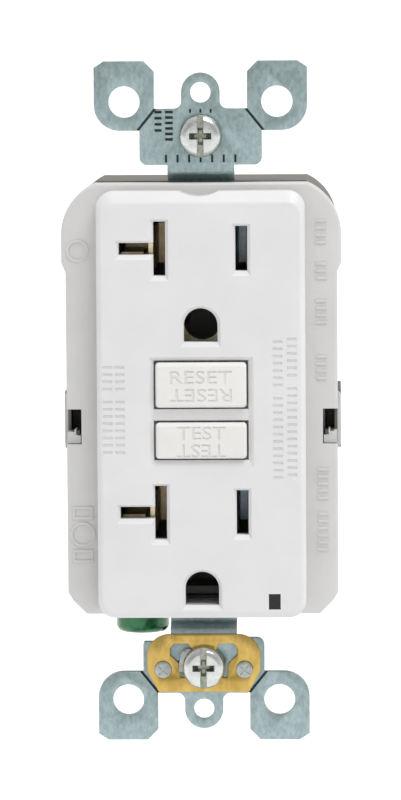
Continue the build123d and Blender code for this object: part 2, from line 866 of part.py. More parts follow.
with BuildPart() as plunger_spring:
    coil((0, plunger_y, yoke_z[1]), (0, 0, 1), collar_z - yoke_z[1], 2.0, 0.2, 4)
save(plunger_spring, "plunger_spring")

# ---- circuit board and its parts
arm_slot_z = around(reset_z, 2.4)
with BuildPart() as circuit_board:
    with BuildSketch(front_plane(board_back)):
        housing_outline(body_wall + fit_gap)
    extrude(amount=board_thickness)
    for side, way in corners:
        block(
            side_span(side, pocket_inner - pocket_wall - fit_gap, cavity_half_width + 1),
            (board_front, board_back),
            around(way * terminal_z, terminal_half_height + pocket_wall + 2 * fit_gap),
            Mode.SUBTRACT,
        )
    for side in (-1, 1):
        for z in corner_z:
            through = (board_front, board_back)
            bar("Y", (side * corner_x, z), assembly_boss_radius + fit_gap, through, Mode.SUBTRACT)
            block(
                side_span(side, corner_x, cavity_half_width),
                (board_front, board_back),
                around(z, assembly_boss_radius + fit_gap),
                Mode.SUBTRACT,
            )
    block(
        both(carriage_half_width + fit_gap),
        (board_front, board_back),
        (carriage_z[0] - fit_gap, tab_low + latch_thickness + fit_gap),
        Mode.SUBTRACT,
    )
    block(both(arm_end + 0.4), (board_front, board_back), arm_slot_z, Mode.SUBTRACT)
save(circuit_board, "circuit_board")

toroid_z = lower_row - 2.2
toroid_radius = 6.2
with BuildPart() as sense_toroid:
    bar("Y", (0, toroid_z), toroid_radius, (board_back, board_back + 3.4))
    bar("Y", (0, toroid_z), 3.2, (board_back, board_back + 3.4), Mode.SUBTRACT)
save(sense_toroid, "sense_toroid")

with BuildPart() as neutral_toroid:
    bar("Y", (0, toroid_z), toroid_radius, (board_back + 3.7, board_back + 7.1))
    bar("Y", (0, toroid_z), 3.2, (board_back + 3.7, board_back + 7.1), Mode.SUBTRACT)
save(neutral_toroid, "neutral_toroid")

with BuildPart() as line_conductors:
    for side in (-1, 1):
        bar("Y", (side * 1.5, toroid_z), 1.0, (board_back, board_back + 7.9))
save(line_conductors, "line_conductors")

with BuildPart() as varistor:
    bar("X", (board_back + 4.3, upper_row), 4.0, (7.4, 9.8))
    fillet(edges().filter_by(GeomType.CIRCLE), 0.8)
save(varistor, "varistor")

with BuildPart() as capacitor:
    block((-11.4, -6.4), (board_back, board_back + 5.6), (upper_row - 7.0, upper_row + 2.5))
    fillet(edges(), 0.6)
save(capacitor, "capacitor")

with BuildPart() as thyristor:
    with BuildSketch(front_plane(board_back + 4.6)):
        with Locations((9.3, lower_row + 4.5)):
            Circle(2.3)
        with Locations((9.3, lower_row + 3.0)):
            Rectangle(5, 2, mode=Mode.SUBTRACT)
    extrude(amount=4.6)
save(thyristor, "thyristor")

with BuildPart() as control_chip:
    block((-11.6, -7.8), (board_back + 0.2, board_back + 1.9), around(lower_row + 2.0, 3.2))
    chamfer(faces().sort_by(Axis.Y)[-1].edges(), 0.25)
save(control_chip, "control_chip")

with BuildPart() as resistors:
    for index in range(3):
        x = -3.6 + 3.6 * index
        bar("X", (board_back + 1.1, lower_row - 11.4), 1.0, around(x * 2, 2.6))
save(resistors, "resistors")

with BuildPart() as indicator_lamp:
    lamp = ((light_x[0] + light_x[1]) / 2, (light_z[0] + light_z[1]) / 2)
    bar("Y", lamp, 0.85, (rail_front - 1.0, board_front))
save(indicator_lamp, "indicator_lamp")

leaf_y = test_stem_end + test_travel + 0.1
with BuildPart() as test_leaf:
    block((-3.0, 3.0), (leaf_y, leaf_y + 0.3), around(test_z, 0.0 + 1.2))
    block((3.0, 3.6), (separator_back, leaf_y + 0.3), around(test_z, 1.2))
save(test_leaf, "test_leaf")

# ---- back body: outer shell, terminal pockets, wire holes, screw bosses and side bosses
with BuildPart() as back_body:
    with BuildSketch(front_plane(body_back)):
        housing_outline(0)
    extrude(amount=body_back - body_front)
    fillet(faces().sort_by(Axis.Y)[-1].edges(), 1.2)
    for side in (-1, 1):
        boss_x = side_span(side, body_half_width - 1, boss_half_width)
        block(boss_x, (body_front + 1.2, terminal_back - 2), boss_z)
    with BuildSketch(front_plane(body_inner_floor)):
        housing_outline(body_wall)
    extrude(amount=body_back, mode=Mode.SUBTRACT)
    for side, way in corners:
        middle = way * terminal_z
        pocket_half = terminal_half_height + fit_gap
        block(
            side_span(side, pocket_inner - pocket_wall, cavity_half_width),
            (separator_back + 0.1, body_inner_floor),
            around(middle, pocket_half + pocket_wall),
        )
        block(
            side_span(side, pocket_inner, body_half_width + 1),
            (separator_back + 0.1, terminal_back + 0.6),
            around(middle, pocket_half),
            Mode.SUBTRACT,
        )
        block(
            side_span(side, cavity_half_width - 1, body_half_width + 1),
            (rail_front - 0.4, terminal_back + 0.6),
            around(middle, pocket_half),
            Mode.SUBTRACT,
        )
        for offset in (-wire_offset, wire_offset):
            wire_depth = (terminal_back, body_back)
            bar("Y", (side * wire_x, middle + offset), wire_hole_radius, wire_depth, Mode.SUBTRACT)
    for side in (-1, 1):
        block(
            side_span(side, notch_inner - 0.3, body_half_width - 0.45),
            (body_front, body_front + 5),
            (notch_z[0] + hook_height, notch_z[1]),
            Mode.SUBTRACT,
        )
        hook = side_span(side, notch_inner + 0.35, body_half_width - 0.6)
        block(hook, (flange_front + 1.0, body_front + 1), (notch_z[0] + 0.2, notch_z[0] + hook_height))
        for z in corner_z:
            bar("Y", (side * corner_x, z), assembly_boss_radius, (body_front, body_inner_floor))
            bar("Y", (side * corner_x, z), assembly_radius + 0.2, (body_front, body_back), Mode.SUBTRACT)
            bar(
                "Y",
                (side * corner_x, z),
                assembly_head_radius + 0.2,
                (body_back - assembly_head_height - 0.3, body_back),
                Mode.SUBTRACT,
            )
    coil_rest = plunger_y + bobbin_radius + coil_clearance
    block(both(coil_rest_half_width), (coil_rest, body_inner_floor + 0.5), (coil_low, coil_low + coil_length))
    block(light_pass_x, (body_front, board_front), light_pass_z, Mode.SUBTRACT)
    neck_pass = neck_half_width + fit_gap
    for z in ((body_top - 3, body_top + 1), (body_bottom - 1, body_bottom + 3)):
        block(both(neck_pass), (body_front, strap_back + 0.15), z, Mode.SUBTRACT)
    bar(
        "Z",
        (ground_screw_x, ground_screw_y),
        terminal_screw_radius + 0.4,
        (body_bottom, body_bottom + 1.2),
        Mode.SUBTRACT,
    )
save(back_body, "back_body")

with BuildPart() as assembly_screws:
    for side in (-1, 1):
        for z in corner_z:
            head_front = body_back - assembly_head_height - 0.3
            bar("Y", (side * corner_x, z), assembly_radius, (flange_front + 1.0, head_front))
            head_depth = (head_front, head_front + assembly_head_height)
            bar("Y", (side * corner_x, z), assembly_head_radius, head_depth)
save(assembly_screws, "assembly_screws")

# ---- screws that fix the strap to its box, each held by a retainer behind the strap
retainer_thickness = 1.0
retainer_gap = 0.1
for end, name in ((1, "upper"), (-1, "lower")):
    z = end * box_z
    seat = -strap_thickness - (clip_thickness if end == -1 else 0.0)
    with BuildPart() as retainer:
        bar("Y", (0, z), 3.6, (retainer_gap, retainer_gap + retainer_thickness))
        bar("Y", (0, z), box_neck_radius + running, (0, retainer_gap + retainer_thickness), Mode.SUBTRACT)
    save(retainer, f"{name}_screw_retainer")
    head_back = seat - part_gap
    neck_end = retainer_gap + retainer_thickness + 0.1
    with BuildPart() as box_screw:
        bar("Y", (0, z), box_head_radius, (head_back - box_head_height, head_back))
        fillet(faces().sort_by(Axis.Y)[0].edges(), 1.1)
        bar("Y", (0, z), box_neck_radius, (head_back, neck_end))
        bar("Y", (0, z), box_thread_radius, (neck_end, box_screw_end))
        chamfer(faces().sort_by(Axis.Y)[-1].edges(), 0.5)
        front = head_back - box_head_height
        block(around(0, 0.5), (front - 1, front + 0.9), around(z, box_head_radius + 1), Mode.SUBTRACT)
        block(both(1.9), (front - 1, front + 1.3), around(z, 0.5), Mode.SUBTRACT)
    save(box_screw, f"{name}_box_screw")

# ---- green ground screw under the body, with its captive washer
washer_thickness = 0.8
washer_top = ground_plate_bottom - running
with BuildPart() as ground_washer:
    block(
        around(ground_screw_x, 3.6),
        around(ground_screw_y, 4.0),
        (washer_top - washer_thickness, washer_top),
    )
    fillet(edges().filter_by(Axis.Z), 0.8)
    bar(
        "Z",
        (ground_screw_x, ground_screw_y),
        terminal_screw_radius + running,
        (washer_top - washer_thickness - 1, washer_top + 1),
        Mode.SUBTRACT,
    )
save(ground_washer, "ground_washer")

head_top = washer_top - washer_thickness - running
with BuildPart() as ground_screw:
    bar("Z", (ground_screw_x, ground_screw_y), ground_head_radius, (head_top - ground_head_height, head_top))
    fillet(faces().sort_by(Axis.Z)[0].edges(), 1.1)
    bar("Z", (ground_screw_x, ground_screw_y), terminal_screw_radius, (head_top, ground_plate_top + 0.9))
    low = head_top - ground_head_height
    block(around(ground_screw_x, 0.55), around(ground_screw_y, 6), (low - 1, low + 0.9), Mode.SUBTRACT)
save(ground_screw, "ground_screw")
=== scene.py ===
import math

import bpy
from mathutils import Euler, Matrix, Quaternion, Vector


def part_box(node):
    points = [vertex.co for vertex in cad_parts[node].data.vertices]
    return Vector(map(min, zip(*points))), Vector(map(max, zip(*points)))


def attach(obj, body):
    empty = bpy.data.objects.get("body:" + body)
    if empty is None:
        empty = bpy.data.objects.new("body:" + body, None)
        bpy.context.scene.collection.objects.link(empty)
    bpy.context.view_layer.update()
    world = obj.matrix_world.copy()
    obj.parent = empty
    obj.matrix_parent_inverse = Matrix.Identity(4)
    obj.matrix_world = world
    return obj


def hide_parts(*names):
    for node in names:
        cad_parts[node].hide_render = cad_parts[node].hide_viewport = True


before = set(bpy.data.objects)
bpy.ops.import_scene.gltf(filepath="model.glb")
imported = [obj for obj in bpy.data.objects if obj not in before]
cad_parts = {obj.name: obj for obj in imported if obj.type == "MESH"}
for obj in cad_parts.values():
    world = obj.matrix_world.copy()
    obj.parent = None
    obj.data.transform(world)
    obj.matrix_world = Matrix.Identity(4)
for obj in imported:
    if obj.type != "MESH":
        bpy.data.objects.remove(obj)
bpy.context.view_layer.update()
mm = 0.001
print("frame loaded with", len(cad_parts), "nodes")


# ---- small helpers; every size given to them is in millimetres

def nodeSpan(node, axis):
    # low and high value of a frame node along x, y or z
    low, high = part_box(node)
    return getattr(low, axis) / mm, getattr(high, axis) / mm


def makeActive(piece):
    bpy.ops.object.select_all(action="DESELECT")
    piece.select_set(True)
    bpy.context.view_layer.objects.active = piece


def applyPlace(piece):
    makeActive(piece)
    bpy.ops.object.transform_apply(location=True, rotation=True, scale=True)


def addBox(x, y, z):
    # a block between a low and a high value on each axis
    spans = [sorted(pair) for pair in (x, y, z)]
    middle = [(low + high) / 2 * mm for low, high in spans]
    size = [(high - low) * mm for low, high in spans]
    bpy.ops.mesh.primitive_cube_add(size=1, location=middle, scale=size)
    piece = bpy.context.object
    applyPlace(piece)
    return piece


def addBar(axis, centre, radius, span, sides=48):
    # a round bar; centre gives its two other coordinates in order
    low, high = sorted(span)
    middle = list(centre)
    middle.insert("xyz".index(axis), (low + high) / 2)
    turn = {"x": (0, math.pi / 2, 0), "y": (math.pi / 2, 0, 0), "z": (0, 0, 0)}[axis]
    bpy.ops.mesh.primitive_cylinder_add(
        vertices=sides,
        radius=radius * mm,
        depth=(high - low) * mm,
        location=[value * mm for value in middle],
        rotation=turn,
    )
    piece = bpy.context.object
    applyPlace(piece)
    return piece


def pick(piece, kind, test):
    # goes into edit mode with what passes the test selected; the test gets a middle in
    # millimetres and a direction, which is a normal, or for an edge the way it runs
    makeActive(piece)
    bpy.ops.object.mode_set(mode="EDIT")
    bpy.ops.mesh.select_mode(type=kind)
    bpy.ops.mesh.select_all(action="DESELECT")
    bpy.ops.object.mode_set(mode="OBJECT")
    mesh = piece.data
    if kind == "FACE":
        for face in mesh.polygons:
            face.select = test(face.center / mm, face.normal)
    if kind == "VERT":
        for corner in mesh.vertices:
            corner.select = test(corner.co / mm, corner.normal)
    if kind == "EDGE":
        for edge in mesh.edges:
            start, end = (mesh.vertices[index].co for index in edge.vertices)
            edge.select = test((start + end) / 2 / mm, (end - start).normalized())
    bpy.ops.object.mode_set(mode="EDIT")


def leaveEdit():
    bpy.ops.object.mode_set(mode="OBJECT")


def slide(x=0.0, y=0.0, z=0.0):
    bpy.ops.transform.translate(value=(x * mm, y * mm, z * mm))


def pullOut(x=0.0, y=0.0, z=0.0):
    bpy.ops.mesh.extrude_region_move(TRANSFORM_OT_translate={"value": (x * mm, y * mm, z * mm)})


def grow(x, y, z, centre):
    bpy.ops.transform.resize(value=(x, y, z), center_override=[value * mm for value in centre])


def roundPicked(width, segments):
    bpy.ops.mesh.bevel(offset=width * mm, segments=segments, affect="EDGES")


def cutAway(piece, point, normal, clear=True):
    # cuts along a plane and closes the cut; the side the normal points to is thrown away
    pick(piece, "FACE", lambda middle, normal: True)
    bpy.ops.mesh.bisect(
        plane_co=[value * mm for value in point],
        plane_no=normal,
        use_fill=clear,
        clear_outer=clear,
    )
    leaveEdit()


def joinPieces(pieces):
    makeActive(pieces[0])
    for piece in pieces:
        piece.select_set(True)
    if len(pieces) > 1:
        bpy.ops.object.join()
    return pieces[0]


def carve(piece, cutters, way="DIFFERENCE"):
    # takes the cutters out of the piece, or with UNION melts them into it
    cutter = joinPieces(cutters)
    makeActive(piece)
    change = piece.modifiers.new("carve", "BOOLEAN")
    change.operation = way
    change.solver = "EXACT"
    change.use_self = True
    change.object = cutter
    bpy.ops.object.modifier_apply(modifier=change.name)
    bpy.data.objects.remove(cutter)


def soften(piece, width, segments=2, limit=35):
    makeActive(piece)
    change = piece.modifiers.new("soften", "BEVEL")
    change.width = width * mm
    change.segments = segments
    change.limit_method = "ANGLE"
    change.angle_limit = math.radians(limit)
    bpy.ops.object.modifier_apply(modifier=change.name)


def copyPiece(piece, x=0.0, y=0.0, z=0.0):
    # an independent copy, moved over
    twin = bpy.data.objects.new(piece.name + "Copy", piece.data.copy())
    bpy.context.scene.collection.objects.link(twin)
    twin.location = (x * mm, y * mm, z * mm)
    applyPlace(twin)
    return twin


def copyNode(node):
    # a free copy of a frame node's mesh, with its triangles joined up again
    piece = bpy.data.objects.new(node + "Copy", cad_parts[node].data.copy())
    bpy.context.scene.collection.objects.link(piece)
    makeActive(piece)
    bpy.ops.mesh.customdata_custom_splitnormals_clear()
    pick(piece, "VERT", lambda middle, normal: True)
    bpy.ops.mesh.remove_doubles(threshold=0.002 * mm)
    bpy.ops.mesh.dissolve_limited(angle_limit=math.radians(0.5))
    leaveEdit()
    return piece


def finishPiece(piece, name, body, material, nodes=(), smooth=35):
    pick(piece, "VERT", lambda middle, normal: True)
    bpy.ops.mesh.remove_doubles(threshold=0.001 * mm)
    bpy.ops.mesh.normals_make_consistent(inside=False)
    leaveEdit()
    bpy.ops.object.shade_smooth_by_angle(angle=math.radians(smooth))
    piece.name = name
    piece.data.name = name
    piece.data.materials.clear()
    piece.data.materials.append(material)
    for face in piece.data.polygons:
        face.material_index = 0
    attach(piece, body)
    if nodes:
        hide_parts(*nodes)
    return piece


def paintFaces(piece, material, test):
    # a second finish on the faces whose corners, in millimetres, and normal pass the test
    piece.data.materials.append(material)
    corners = [vertex.co / mm for vertex in piece.data.vertices]
    for face in piece.data.polygons:
        if test([corners[index] for index in face.vertices], face.normal):
            face.material_index = 1


# ---- materials

def hexColour(code):
    # sRGB hex to the linear values that the shaders use
    channels = [int(code[place:place + 2], 16) / 255 for place in (1, 3, 5)]
    linear = [value / 12.92 if value <= 0.04045 else ((value + 0.055) / 1.055) ** 2.4 for value in channels]
    return (*linear, 1.0)


def addNode(material, kind, settings=None, values=None, links=None):
    node = material.node_tree.nodes.new(kind)
    for key, value in (settings or {}).items():
        setattr(node, key, value)
    for socket, value in (values or {}).items():
        node.inputs[socket].default_value = value
    for socket, source in (links or {}).items():
        material.node_tree.links.new(source, node.inputs[socket])
    return node


def perMm(size):
    # pattern scale for features of this many millimetres
    return 1 / (size * mm)


def startMaterial(name, values):
    material = bpy.data.materials.new(name)
    material.use_nodes = True
    shader = material.node_tree.nodes["Principled BSDF"]
    for socket, value in values.items():
        shader.inputs[socket].default_value = value
    return material, shader


def addSurface(material, shader, look):
    # colour drift, gloss drift and fine relief, all from noise in the piece's own place
    place = addNode(material, "ShaderNodeTexCoord").outputs["Object"]
    stretch = addNode(
        material,
        "ShaderNodeMapping",
        values={"Scale": look.get("stretch", (1, 1, 1))},
        links={"Vector": place},
    ).outputs["Vector"]
    drift = addNode(
        material,
        "ShaderNodeTexNoise",
        values={"Scale": perMm(look["driftSize"]), "Detail": 4.0, "Roughness": 0.6},
        links={"Vector": stretch},
    ).outputs["Fac"]
    tone = addNode(material, "ShaderNodeValToRGB", links={"Fac": drift})
    tone.color_ramp.elements[0].position = look.get("driftLow", 0.35)
    tone.color_ramp.elements[0].color = hexColour(look["shade"])
    tone.color_ramp.elements[1].position = look.get("driftHigh", 0.65)
    tone.color_ramp.elements[1].color = hexColour(look["colour"])
    gloss = addNode(
        material,
        "ShaderNodeMapRange",
        values={"To Min": look["roughness"][0], "To Max": look["roughness"][1]},
        links={"Value": drift},
    )
    grain = addNode(
        material,
        "ShaderNodeTexNoise",
        values={"Scale": perMm(look["grainSize"]), "Detail": 2.0},
        links={"Vector": stretch},
    ).outputs["Fac"]
    relief = addNode(
        material,
        "ShaderNodeBump",
        values={"Strength": look["reliefStrength"], "Distance": look["reliefDepth"] * mm},
        links={"Height": grain},
    )
    wire = material.node_tree.links.new
    wire(tone.outputs["Color"], shader.inputs["Base Color"])
    wire(gloss.outputs["Result"], shader.inputs["Roughness"])
    wire(relief.outputs["Normal"], shader.inputs["Normal"])


def mouldedPlastic(name, colour, shade, roughness=(0.32, 0.42), relief=0.25):
    # PBT or nylon off a polished tool: even colour, soft gloss, a very faint orange peel
    material, shader = startMaterial(name, {"IOR": 1.5, "Specular IOR Level": 0.4})
    addSurface(material, shader, {
        "colour": colour, "shade": shade, "driftSize": 9.0, "roughness": roughness,
        "grainSize": 0.35, "reliefStrength": relief, "reliefDepth": 0.02,
    })
    return material


def sheetMetal(name, colour, shade, roughness, driftSize, grainSize, stretch=(1, 1, 1), relief=0.3):
    # rolled or plated metal: mottled tone, drawn out along the rolling direction where there is one
    material, shader = startMaterial(name, {"Metallic": 1.0})
    addSurface(material, shader, {
        "colour": colour, "shade": shade, "driftSize": driftSize, "roughness": roughness,
        "grainSize": grainSize, "reliefStrength": relief, "reliefDepth": 0.015, "stretch": stretch,
    })
    return material


def woundWire(name, colour, shade, pitch, bandAxis):
    # enamelled wire laid turn by turn: one ridge for each wire
    material, shader = startMaterial(name, {"Metallic": 0.6, "Coat Weight": 0.6, "Coat Roughness": 0.15})
    addSurface(material, shader, {
        "colour": colour, "shade": shade, "driftSize": 2.0, "roughness": (0.25, 0.4),
        "grainSize": 0.5, "reliefStrength": 0.2, "reliefDepth": 0.02,
    })
    place = addNode(material, "ShaderNodeTexCoord").outputs["Object"]
    turns = addNode(
        material,
        "ShaderNodeTexWave",
        {"bands_direction": bandAxis, "wave_profile": "SIN"},
        {"Scale": perMm(pitch) / math.pi, "Distortion": 0.0},
        {"Vector": place},
    ).outputs["Fac"]
    ridges = addNode(
        material,
        "ShaderNodeBump",
        values={"Strength": 0.8, "Distance": 0.06 * mm},
        links={"Height": turns},
    )
    material.node_tree.links.new(ridges.outputs["Normal"], shader.inputs["Normal"])
    return material


whitePlastic = mouldedPlastic("moulded_white_pbt", "#d6d5d5", "#d2d1d1")
# flange white: darker than the face as painted shade from the raised face, with a real satin gloss
shadedFlangePlastic = mouldedPlastic("satin_white_pbt_painted_shade", "#c9c8c7", "#c4c3c2", (0.42, 0.52))
buttonPlastic = mouldedPlastic("moulded_white_button_pbt", "#dcdbd8", "#d8d7d4", (0.35, 0.45))
latchPlastic = mouldedPlastic("moulded_grey_latch_pbt", "#c2c2c1", "#bababa", (0.4, 0.5))
bodyPlastic = mouldedPlastic("spark_textured_taupe_nylon", "#66645c", "#5a5850", (0.5, 0.65), 0.7)
innerPlastic = mouldedPlastic("moulded_grey_separator_nylon", "#8b8b86", "#7e7e79", (0.45, 0.6))
blackPlastic = mouldedPlastic("moulded_black_phenolic", "#1d1d1f", "#141416", (0.4, 0.55))
lensPlastic = mouldedPlastic("smoked_acrylic_light_pipe", "#0c0d0c", "#070807", (0.12, 0.2), 0.1)
chipPlastic = mouldedPlastic("transfer_moulded_epoxy", "#202124", "#18191b", (0.5, 0.6), 0.6)
blueEpoxy = mouldedPlastic("dipped_blue_epoxy", "#2c5f9e", "#234f88", (0.2, 0.3), 0.4)
filmEpoxy = mouldedPlastic("dipped_tan_epoxy", "#b9935a", "#a9844d", (0.25, 0.35), 0.4)
resistorPaint = mouldedPlastic("baked_resistor_paint", "#b59f78", "#a58f6a", (0.3, 0.4), 0.3)
ferritePaint = mouldedPlastic("epoxy_coated_ferrite", "#3f5148", "#35463e", (0.35, 0.5), 0.5)
zincSteel = sheetMetal(
    "zinc_plated_rolled_steel", "#a6b6b7", "#90a2a3", (0.38, 0.5), 0.55, 0.14, (1, 1, 0.6), 0.6
)
clipBrass = sheetMetal("rolled_brass_clip", "#d0b268", "#b4954c", (0.22, 0.42), 1.9, 0.3, (1, 1, 0.5), 0.4)
contactBrass = sheetMetal("stamped_contact_brass", "#e9dcc0", "#c9b48c", (0.3, 0.45), 1.5, 0.2)
tinBrass = sheetMetal("tin_plated_brass", "#cfdbe2", "#aebdc6", (0.3, 0.45), 1.5, 0.2)
clampSteel = sheetMetal("zinc_plated_clamp_steel", "#b3b8b6", "#989d9b", (0.3, 0.5), 1.4, 0.2)
nickelSteel = sheetMetal(
    "bright_zinc_screw_steel", "#d6d8d5", "#bfc3c1", (0.16, 0.28), 1.2, 0.25, relief=0.25
)
# groove and stamp floors: darker colour as painted shade inside the grooves, with a duller gloss
grooveShadeSteel = sheetMetal("dull_scored_steel_painted_shade", "#5a6464", "#485151", (0.6, 0.75), 0.6, 0.15)
# screw slot and cross floors: darker colour as painted shade in the recess, with a rougher gloss
recessShadeSteel = sheetMetal("unpolished_recess_steel_painted_shade", "#b4b6aa", "#8c8f84", (0.35, 0.5), 0.9, 0.2)
brassScrew = sheetMetal("turned_brass_screw", "#cfae62", "#b59449", (0.18, 0.3), 1.2, 0.25)
springSteel = sheetMetal("drawn_spring_steel", "#a4a6a6", "#8a8d8e", (0.22, 0.34), 0.8, 0.15)
silverTip = sheetMetal("silver_contact_rivet", "#e2e0da", "#cdcbc4", (0.2, 0.3), 0.9, 0.15)
copperCoil = woundWire("enamelled_copper_winding", "#b5693a", "#96502a", 0.3, "Z")


def greenLacquer():
    # steel screw under dyed green lacquer: deep green with a wet coat and thin worn spots
    material, shader = startMaterial(
        "green_dyed_zinc_screw", {"Metallic": 0.55, "Coat Weight": 0.7, "Coat Roughness": 0.12}
    )
    addSurface(material, shader, {
        "colour": "#177039", "shade": "#0a3d20", "driftSize": 2.2, "roughness": (0.22, 0.38),
        "grainSize": 0.3, "reliefStrength": 0.3, "reliefDepth": 0.02,
    })
    return material


def circuitLaminate():
    # glass laminate under green solder mask: two close greens that meet at sharp edges
    material, shader = startMaterial("solder_masked_glass_laminate", {"IOR": 1.5, "Coat Weight": 0.3})
    addSurface(material, shader, {
        "colour": "#3d6f45", "shade": "#2f5d39", "driftSize": 3.5, "roughness": (0.3, 0.42),
        "grainSize": 0.5, "reliefStrength": 0.3, "reliefDepth": 0.03,
        "driftLow": 0.48, "driftHigh": 0.52,
    })
    return material


def fishPaper():
    # vulcanised fibre washer: brick grey-red, matt, short fibres
    material, shader = startMaterial("vulcanised_fibre", {"IOR": 1.48})
    addSurface(material, shader, {
        "colour": "#8e5b47", "shade": "#774835", "driftSize": 0.9, "roughness": (0.7, 0.85),
        "grainSize": 0.15, "reliefStrength": 0.6, "reliefDepth": 0.03,
    })
    return material


def lampGlass():
    # unlit lamp body: clear red-tinted epoxy
    material, shader = startMaterial(
        "tinted_clear_lamp_epoxy", {"IOR": 1.52, "Transmission Weight": 0.6, "Coat Weight": 0.4}
    )
    addSurface(material, shader, {
        "colour": "#7c2a22", "shade": "#5f1c17", "driftSize": 1.2, "roughness": (0.08, 0.14),
        "grainSize": 0.6, "reliefStrength": 0.1, "reliefDepth": 0.01,
    })
    return material


greenScrew = greenLacquer()
boardLaminate = circuitLaminate()
fibre = fishPaper()
lampEpoxy = lampGlass()
print("materials made:", len(bpy.data.materials))

# Frame nodes that stay as they are, with the material each one wears
frameFinish = {
    "back_body": bodyPlastic,
    "separator": innerPlastic,
    "contact_carriage": blackPlastic,
    "solenoid_bobbin": blackPlastic,
    "light_pipe": lensPlastic,
    "control_chip": chipPlastic,
    "thyristor": chipPlastic,
    "varistor": blueEpoxy,
    "capacitor": filmEpoxy,
    "resistors": resistorPaint,
    "sense_toroid": ferritePaint,
    "neutral_toroid": ferritePaint,
    "circuit_board": boardLaminate,
    "indicator_lamp": lampEpoxy,
    "ground_contact_upper": contactBrass,
    "ground_contact_lower": contactBrass,
    "neutral_contact_strip": contactBrass,
    "hot_contact_strip": tinBrass,
    "contact_bridges": contactBrass,
    "line_conductors": copperCoil,
    "solenoid_coil": copperCoil,
    "fixed_contacts": silverTip,
    "moving_contacts": silverTip,
    "solenoid_yoke": clampSteel,
    "solenoid_plunger": springSteel,
    "latch_plate": springSteel,
    "reset_rod": springSteel,
    "test_leaf": springSteel,
    "reset_spring": springSteel,
    "test_spring": springSteel,
    "carriage_springs": springSteel,
    "plunger_spring": springSteel,
    "upper_screw_retainer": fibre,
    "lower_screw_retainer": fibre,
    "ground_washer": clampSteel,
}
for feed in ("line", "load"):
    frameFinish[f"{feed}_hot_terminal"] = contactBrass
    frameFinish[f"{feed}_neutral_terminal"] = tinBrass
    frameFinish[f"{feed}_hot_clamp"] = clampSteel
    frameFinish[f"{feed}_neutral_clamp"] = clampSteel
for node, material in frameFinish.items():
    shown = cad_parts[node]
    for place in shown.material_slots:
        place.material = material
    if not shown.material_slots:
        shown.data.materials.append(material)
print("frame nodes finished:", len(frameFinish))

# ---- front cover: flange with a raised face, slots, button pocket, notches and marks
cover = {
    "front": nodeSpan("front_cover", "y")[0],
    "back": nodeSpan("front_cover", "y")[1],
    "top": nodeSpan("front_cover", "z")[1],
    "bottom": nodeSpan("front_cover", "z")[0],
    "wideHalf": nodeSpan("front_cover", "x")[1],
    "narrowHalf": 21.2,
    "step": (20.5, 22.0),
    "cornerRadius": 8.9,
    "cornerCut": 0.8,
    "lowerCuts": ((2.9, 0, 2.4, -2.3), (0.6, 2.4, 2.6, -0.6)),  # inset, rise, then which way it faces
    "flangeFront": -2.6,
    "flangeRound": 0.45,
    "faceHalf": 16.2,
    "faceTop": 33.3,
    "faceCorner": 2.7,
    "faceRound": 0.3,
    "faceWall": 2.0,
    "faceThickness": 2.4,
    "rimWidth": 0.65,
    "rimDrop": 0.5,
    "browWidth": 1.2,
    "browDrop": 0.85,
    "rows": (24.45, -16.65),
    "bladeX": 6.35,
    "slotWidth": 1.85,
    "neutralHeight": 8.4,
    "hotHeight": 6.95,
    "armEnd": 12.65,
    "groundDrop": 11.89,
    "groundHalf": 2.62,
    "leadIn": 0.5,
    "sillDrop": 0.3,  # how far a slot's sill and lintel are let down: a deep sill, a shallow lintel
    "lintelDrop": 0.15,
    "pocketHalf": (8.15, 7.35),
    "pocketZ": ((-9.51, 7.68), (-8.46, 7.09)),
    "pocketDepth": 0.55,
    "resetOpening": (-0.51, 7.09),
    "testOpening": (-8.46, -2.27),
    "lampX": (10.37, 12.2),
    "lampZ": (-31.85, -29.4),
    "pryRadius": 6.3,
    "notchInner": 18.87,
    "notchZ": (-6.4, -0.9),
    "markProud": 0.16,
    "markDepth": 0.4,
    "markRim": 0.38,
    "tickTall": 0.42,
    "engravedWidth": 1.45,
    "raisedWidth": 1.7,
    "engravedDepth": 0.12,
}


def makeFlange():
    rise = cover["top"] + cover["cornerCut"]
    half = cover["narrowHalf"]
    piece = addBox((-half, half), (cover["flangeFront"], cover["back"]), (cover["bottom"], rise))
    for level in cover["step"]:
        cutAway(piece, (0, 0, level), (0, 0, 1), clear=False)
    for side in (-1, 1):  # the upper third is a little wider
        pick(piece, "VERT", lambda at, normal: at.x * side > 1 and at.z > cover["step"][1] - 0.1)
        slide(x=side * (cover["wideHalf"] - half))
        leaveEdit()
    pick(piece, "EDGE", lambda at, way: abs(way.y) > 0.9 and abs(at.x) > 21 and at.z > rise - 0.1)
    roundPicked(cover["cornerRadius"], 16)
    leaveEdit()
    cutAway(piece, (0, 0, cover["top"]), (0, 0, 1))
    for side in (-1, 1):  # two cuts make each bent lower corner
        for inset, up, outward, downward in cover["lowerCuts"]:
            cutAway(piece, (side * (half - inset), 0, cover["bottom"] + up), (side * outward, 0, downward))
    pick(piece, "EDGE", lambda at, way: at.y < cover["flangeFront"] + 0.01 and abs(way.y) < 0.1
         and (abs(at.x) > 15 or abs(at.z) > 33))
    bpy.ops.mesh.select_mode(type="EDGE")
    roundPicked(cover["flangeRound"], 3)
    leaveEdit()
    return piece


